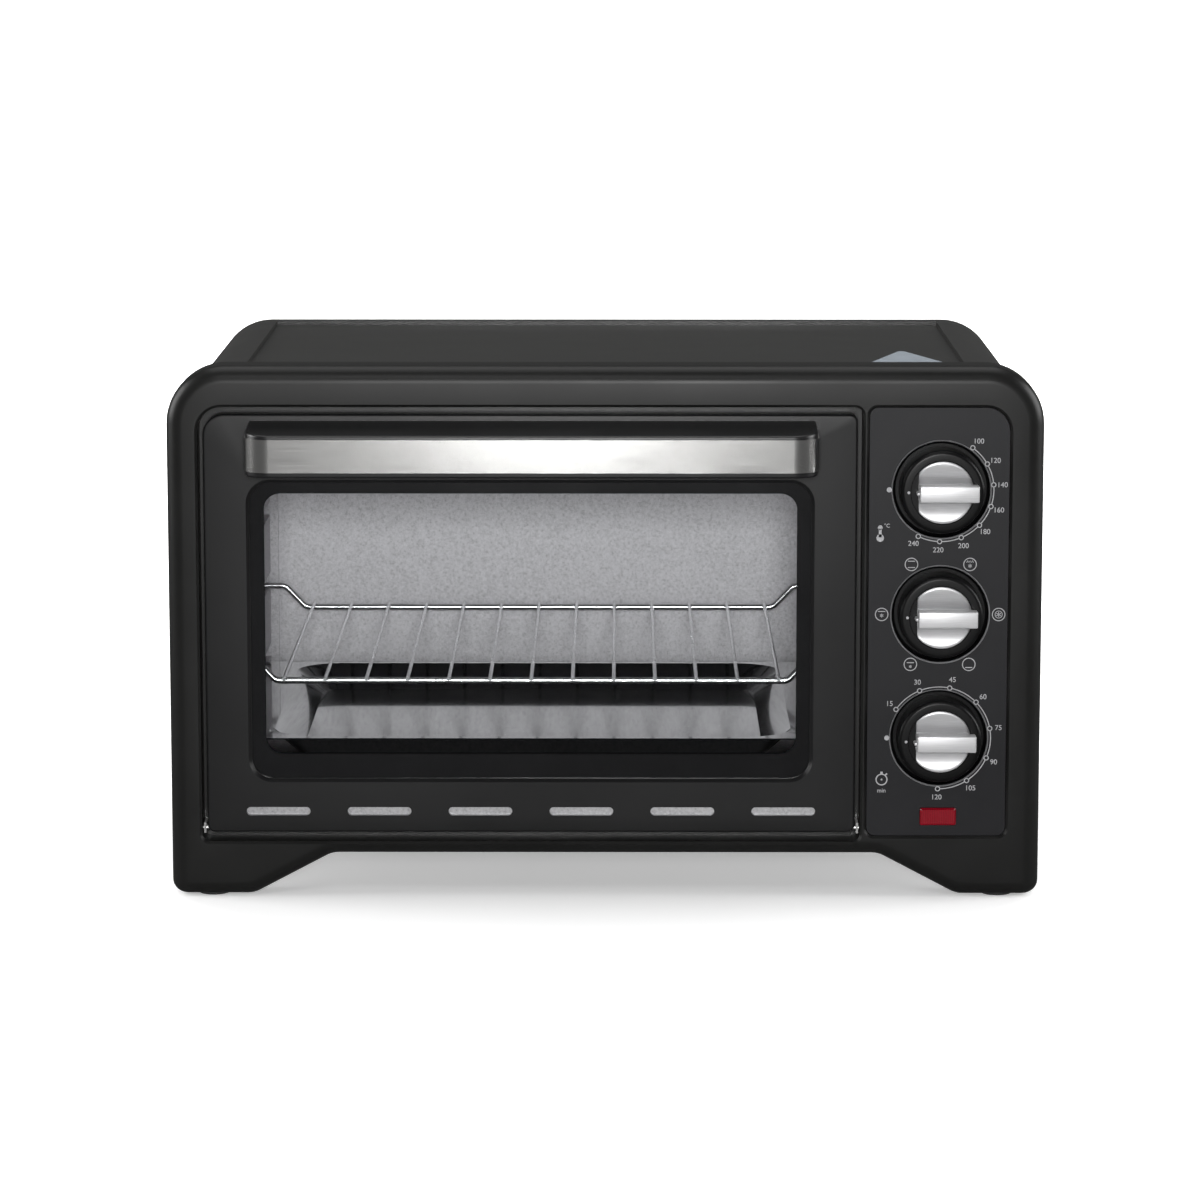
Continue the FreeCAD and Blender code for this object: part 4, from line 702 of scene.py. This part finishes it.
def dish_rims():
    """Painted shade and highlight: a near-black sheet over each knob's dished recess, which is the panel's
    plastic in shade, and a lighter ring on its thin bevelled rim for the light it catches.
    """
    rim_front, rim_back = PANEL_FRONT - 0.03 * MM, PANEL_FRONT + 1.0 * MM
    top, bottom = DISH_FLOOR - 0.15 * MM, DISH_FLOOR - 0.02 * MM
    start = (DISH_INNER, PANEL_FRONT + 0.9 * MM)
    rim = [(DISH_OUTER, rim_front), (DISH_INNER + 0.15 * MM, PANEL_FRONT + 0.45 * MM),
           (DISH_INNER, rim_back), (DISH_INNER + 0.4 * MM, rim_back),
           (DISH_OUTER, PANEL_FRONT + 0.1 * MM), (DISH_OUTER, rim_front)]
    # painted shade: a near-black sheet just in front of the dish's wall and floor, which are only shaded
    # panel plastic
    shade_sheet = [start, (DISH_INNER - 0.5 * MM, DISH_FLOOR - 1.2 * MM), (DISH_INNER - 1.6 * MM, top),
              (DISH_HOLE, top), (DISH_HOLE, bottom), (DISH_INNER - 0.1 * MM, bottom), start]
    for knob in KNOB_NAMES:
        centre = knob_centre(knob)
        piece(f"{knob}_dish_rim", lathe(f"{knob}_dish_rim", centre, rim),
              "housing", "panel_plastic", RIM_HIGHLIGHT)
        # the painted shade sheet takes the knobs' darker black
        piece(f"{knob}_dish_painted_shade", lathe(f"{knob}_dish_painted_shade", centre, shade_sheet),
              "housing", "knob_plastic")


dish_rims()


# ------------------------------------------------------------------ studio
def make_stage():
    """A pale floor that curves up into a backdrop."""
    def build(work):
        front, back, radius, top, half = -6.0, 3.0, 1.5, 5.0, 7.0
        side = [(front, 0.0), (back, 0.0)]
        side += [(back + radius * math.sin(turn), radius - radius * math.cos(turn))
                 for turn in (math.pi / 2 * i / 16 for i in range(1, 17))]
        side.append((back + radius, top))
        rows = [[work.verts.new((x, y, z)) for x in (-half, half)] for y, z in side]
        for a, b in zip(rows, rows[1:]):
            work.faces.new([a[0], a[1], b[1], b[0]])
    mesh = mesh_from("studio_floor", build)
    floor = bpy.data.objects.new("studio_floor", mesh)
    bpy.context.scene.collection.objects.link(floor)
    paper = Look("studio_paper", (0.93, 0.93, 0.93), 0.8).vary(400 * MM, 0.02)
    paper.shader.inputs["Emission Color"].default_value = (1, 1, 1, 1)
    paper.shader.inputs["Emission Strength"].default_value = 0.32
    mesh.materials.append(paper.material)
    mesh.shade_smooth()
    floor.visible_glossy = False


def soft_box(name, place, aim, size, watts, tall=None, mirrored=True):
    """An area light aimed at a point; a fill that is not mirrored leaves no bright patch on paint."""
    lamp = bpy.data.lights.new(name, "AREA")
    lamp.energy = watts
    lamp.shape = "RECTANGLE"
    lamp.size = size
    lamp.size_y = tall or size
    holder = bpy.data.objects.new(name, lamp)
    holder.location = place
    holder.rotation_euler = (Vector(aim) - Vector(place)).to_track_quat("-Z", "Y").to_euler()
    holder.visible_glossy = mirrored
    bpy.context.scene.collection.objects.link(holder)


def make_lights():
    """Soft boxes, a dim room for lighting and a bright one for the camera to see."""
    soft_box("overhead", (0.0, 0.5, 2.4), (0, 0, 0), 2.0, 20)
    soft_box("window_light", (0.02, -2.62, 0.62), (0, 0, 0.15), 0.3, 26)
    soft_box("strip", (-0.05, -2.9, 0.24), (0, 0, 0.22), 0.3, 4.5, 0.4)
    soft_box("front_high", (-0.2, -2.0, 2.0), (0, -0.1, 0.15), 0.8, 8)
    soft_box("left_side", (-2.4, 0.1, 1.0), (0, 0, 0.12), 1.6, 48)
    soft_box("right_side", (2.4, 0.1, 1.0), (0, 0, 0.12), 1.6, 48)
    soft_box("rear_left", (-1.3, 2.4, 0.9), (0, 0, 0.12), 1.6, 56, mirrored=False)
    soft_box("rear_right", (1.3, 2.4, 0.9), (0, 0, 0.12), 1.6, 56, mirrored=False)
    soft_box("backdrop_wash", (0.0, 1.2, 2.8), (0, 4.5, 1.6), 2.4, 125)
    world = bpy.data.worlds.new("studio")
    world.use_nodes = True
    nodes, links = world.node_tree.nodes, world.node_tree.links
    room = nodes["Background"]
    room.inputs["Color"].default_value = (1, 1, 1, 1)
    room.inputs["Strength"].default_value = 0.10
    behind = nodes.new("ShaderNodeBackground")
    behind.inputs["Color"].default_value = (0.9, 0.9, 0.9, 1)
    seen = nodes.new("ShaderNodeLightPath")
    mix = nodes.new("ShaderNodeMixShader")
    links.new(seen.outputs["Is Camera Ray"], mix.inputs[0])
    links.new(room.outputs[0], mix.inputs[1])
    links.new(behind.outputs[0], mix.inputs[2])
    links.new(mix.outputs[0], nodes["World Output"].inputs["Surface"])
    bpy.context.scene.world = world


def make_camera():
    """The camera stands 2.4 m in front of the oven, 0.55 m above the floor."""
    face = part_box("front_frame")[0].y
    camera = bpy.data.cameras.new("camera")
    camera.sensor_width = 36    # mm, as is the lens
    camera.lens = 137.7
    holder = bpy.data.objects.new("camera", camera)
    holder.location = (0.0064, face - 2.4, 0.55)
    aim = Vector((-0.0027, face, 0.161))
    holder.rotation_euler = (aim - holder.location).to_track_quat("-Z", "Y").to_euler()
    bpy.context.scene.collection.objects.link(holder)
    bpy.context.scene.camera = holder


make_stage()
make_lights()
make_camera()
bpy.context.scene.view_settings.view_transform = "Standard"
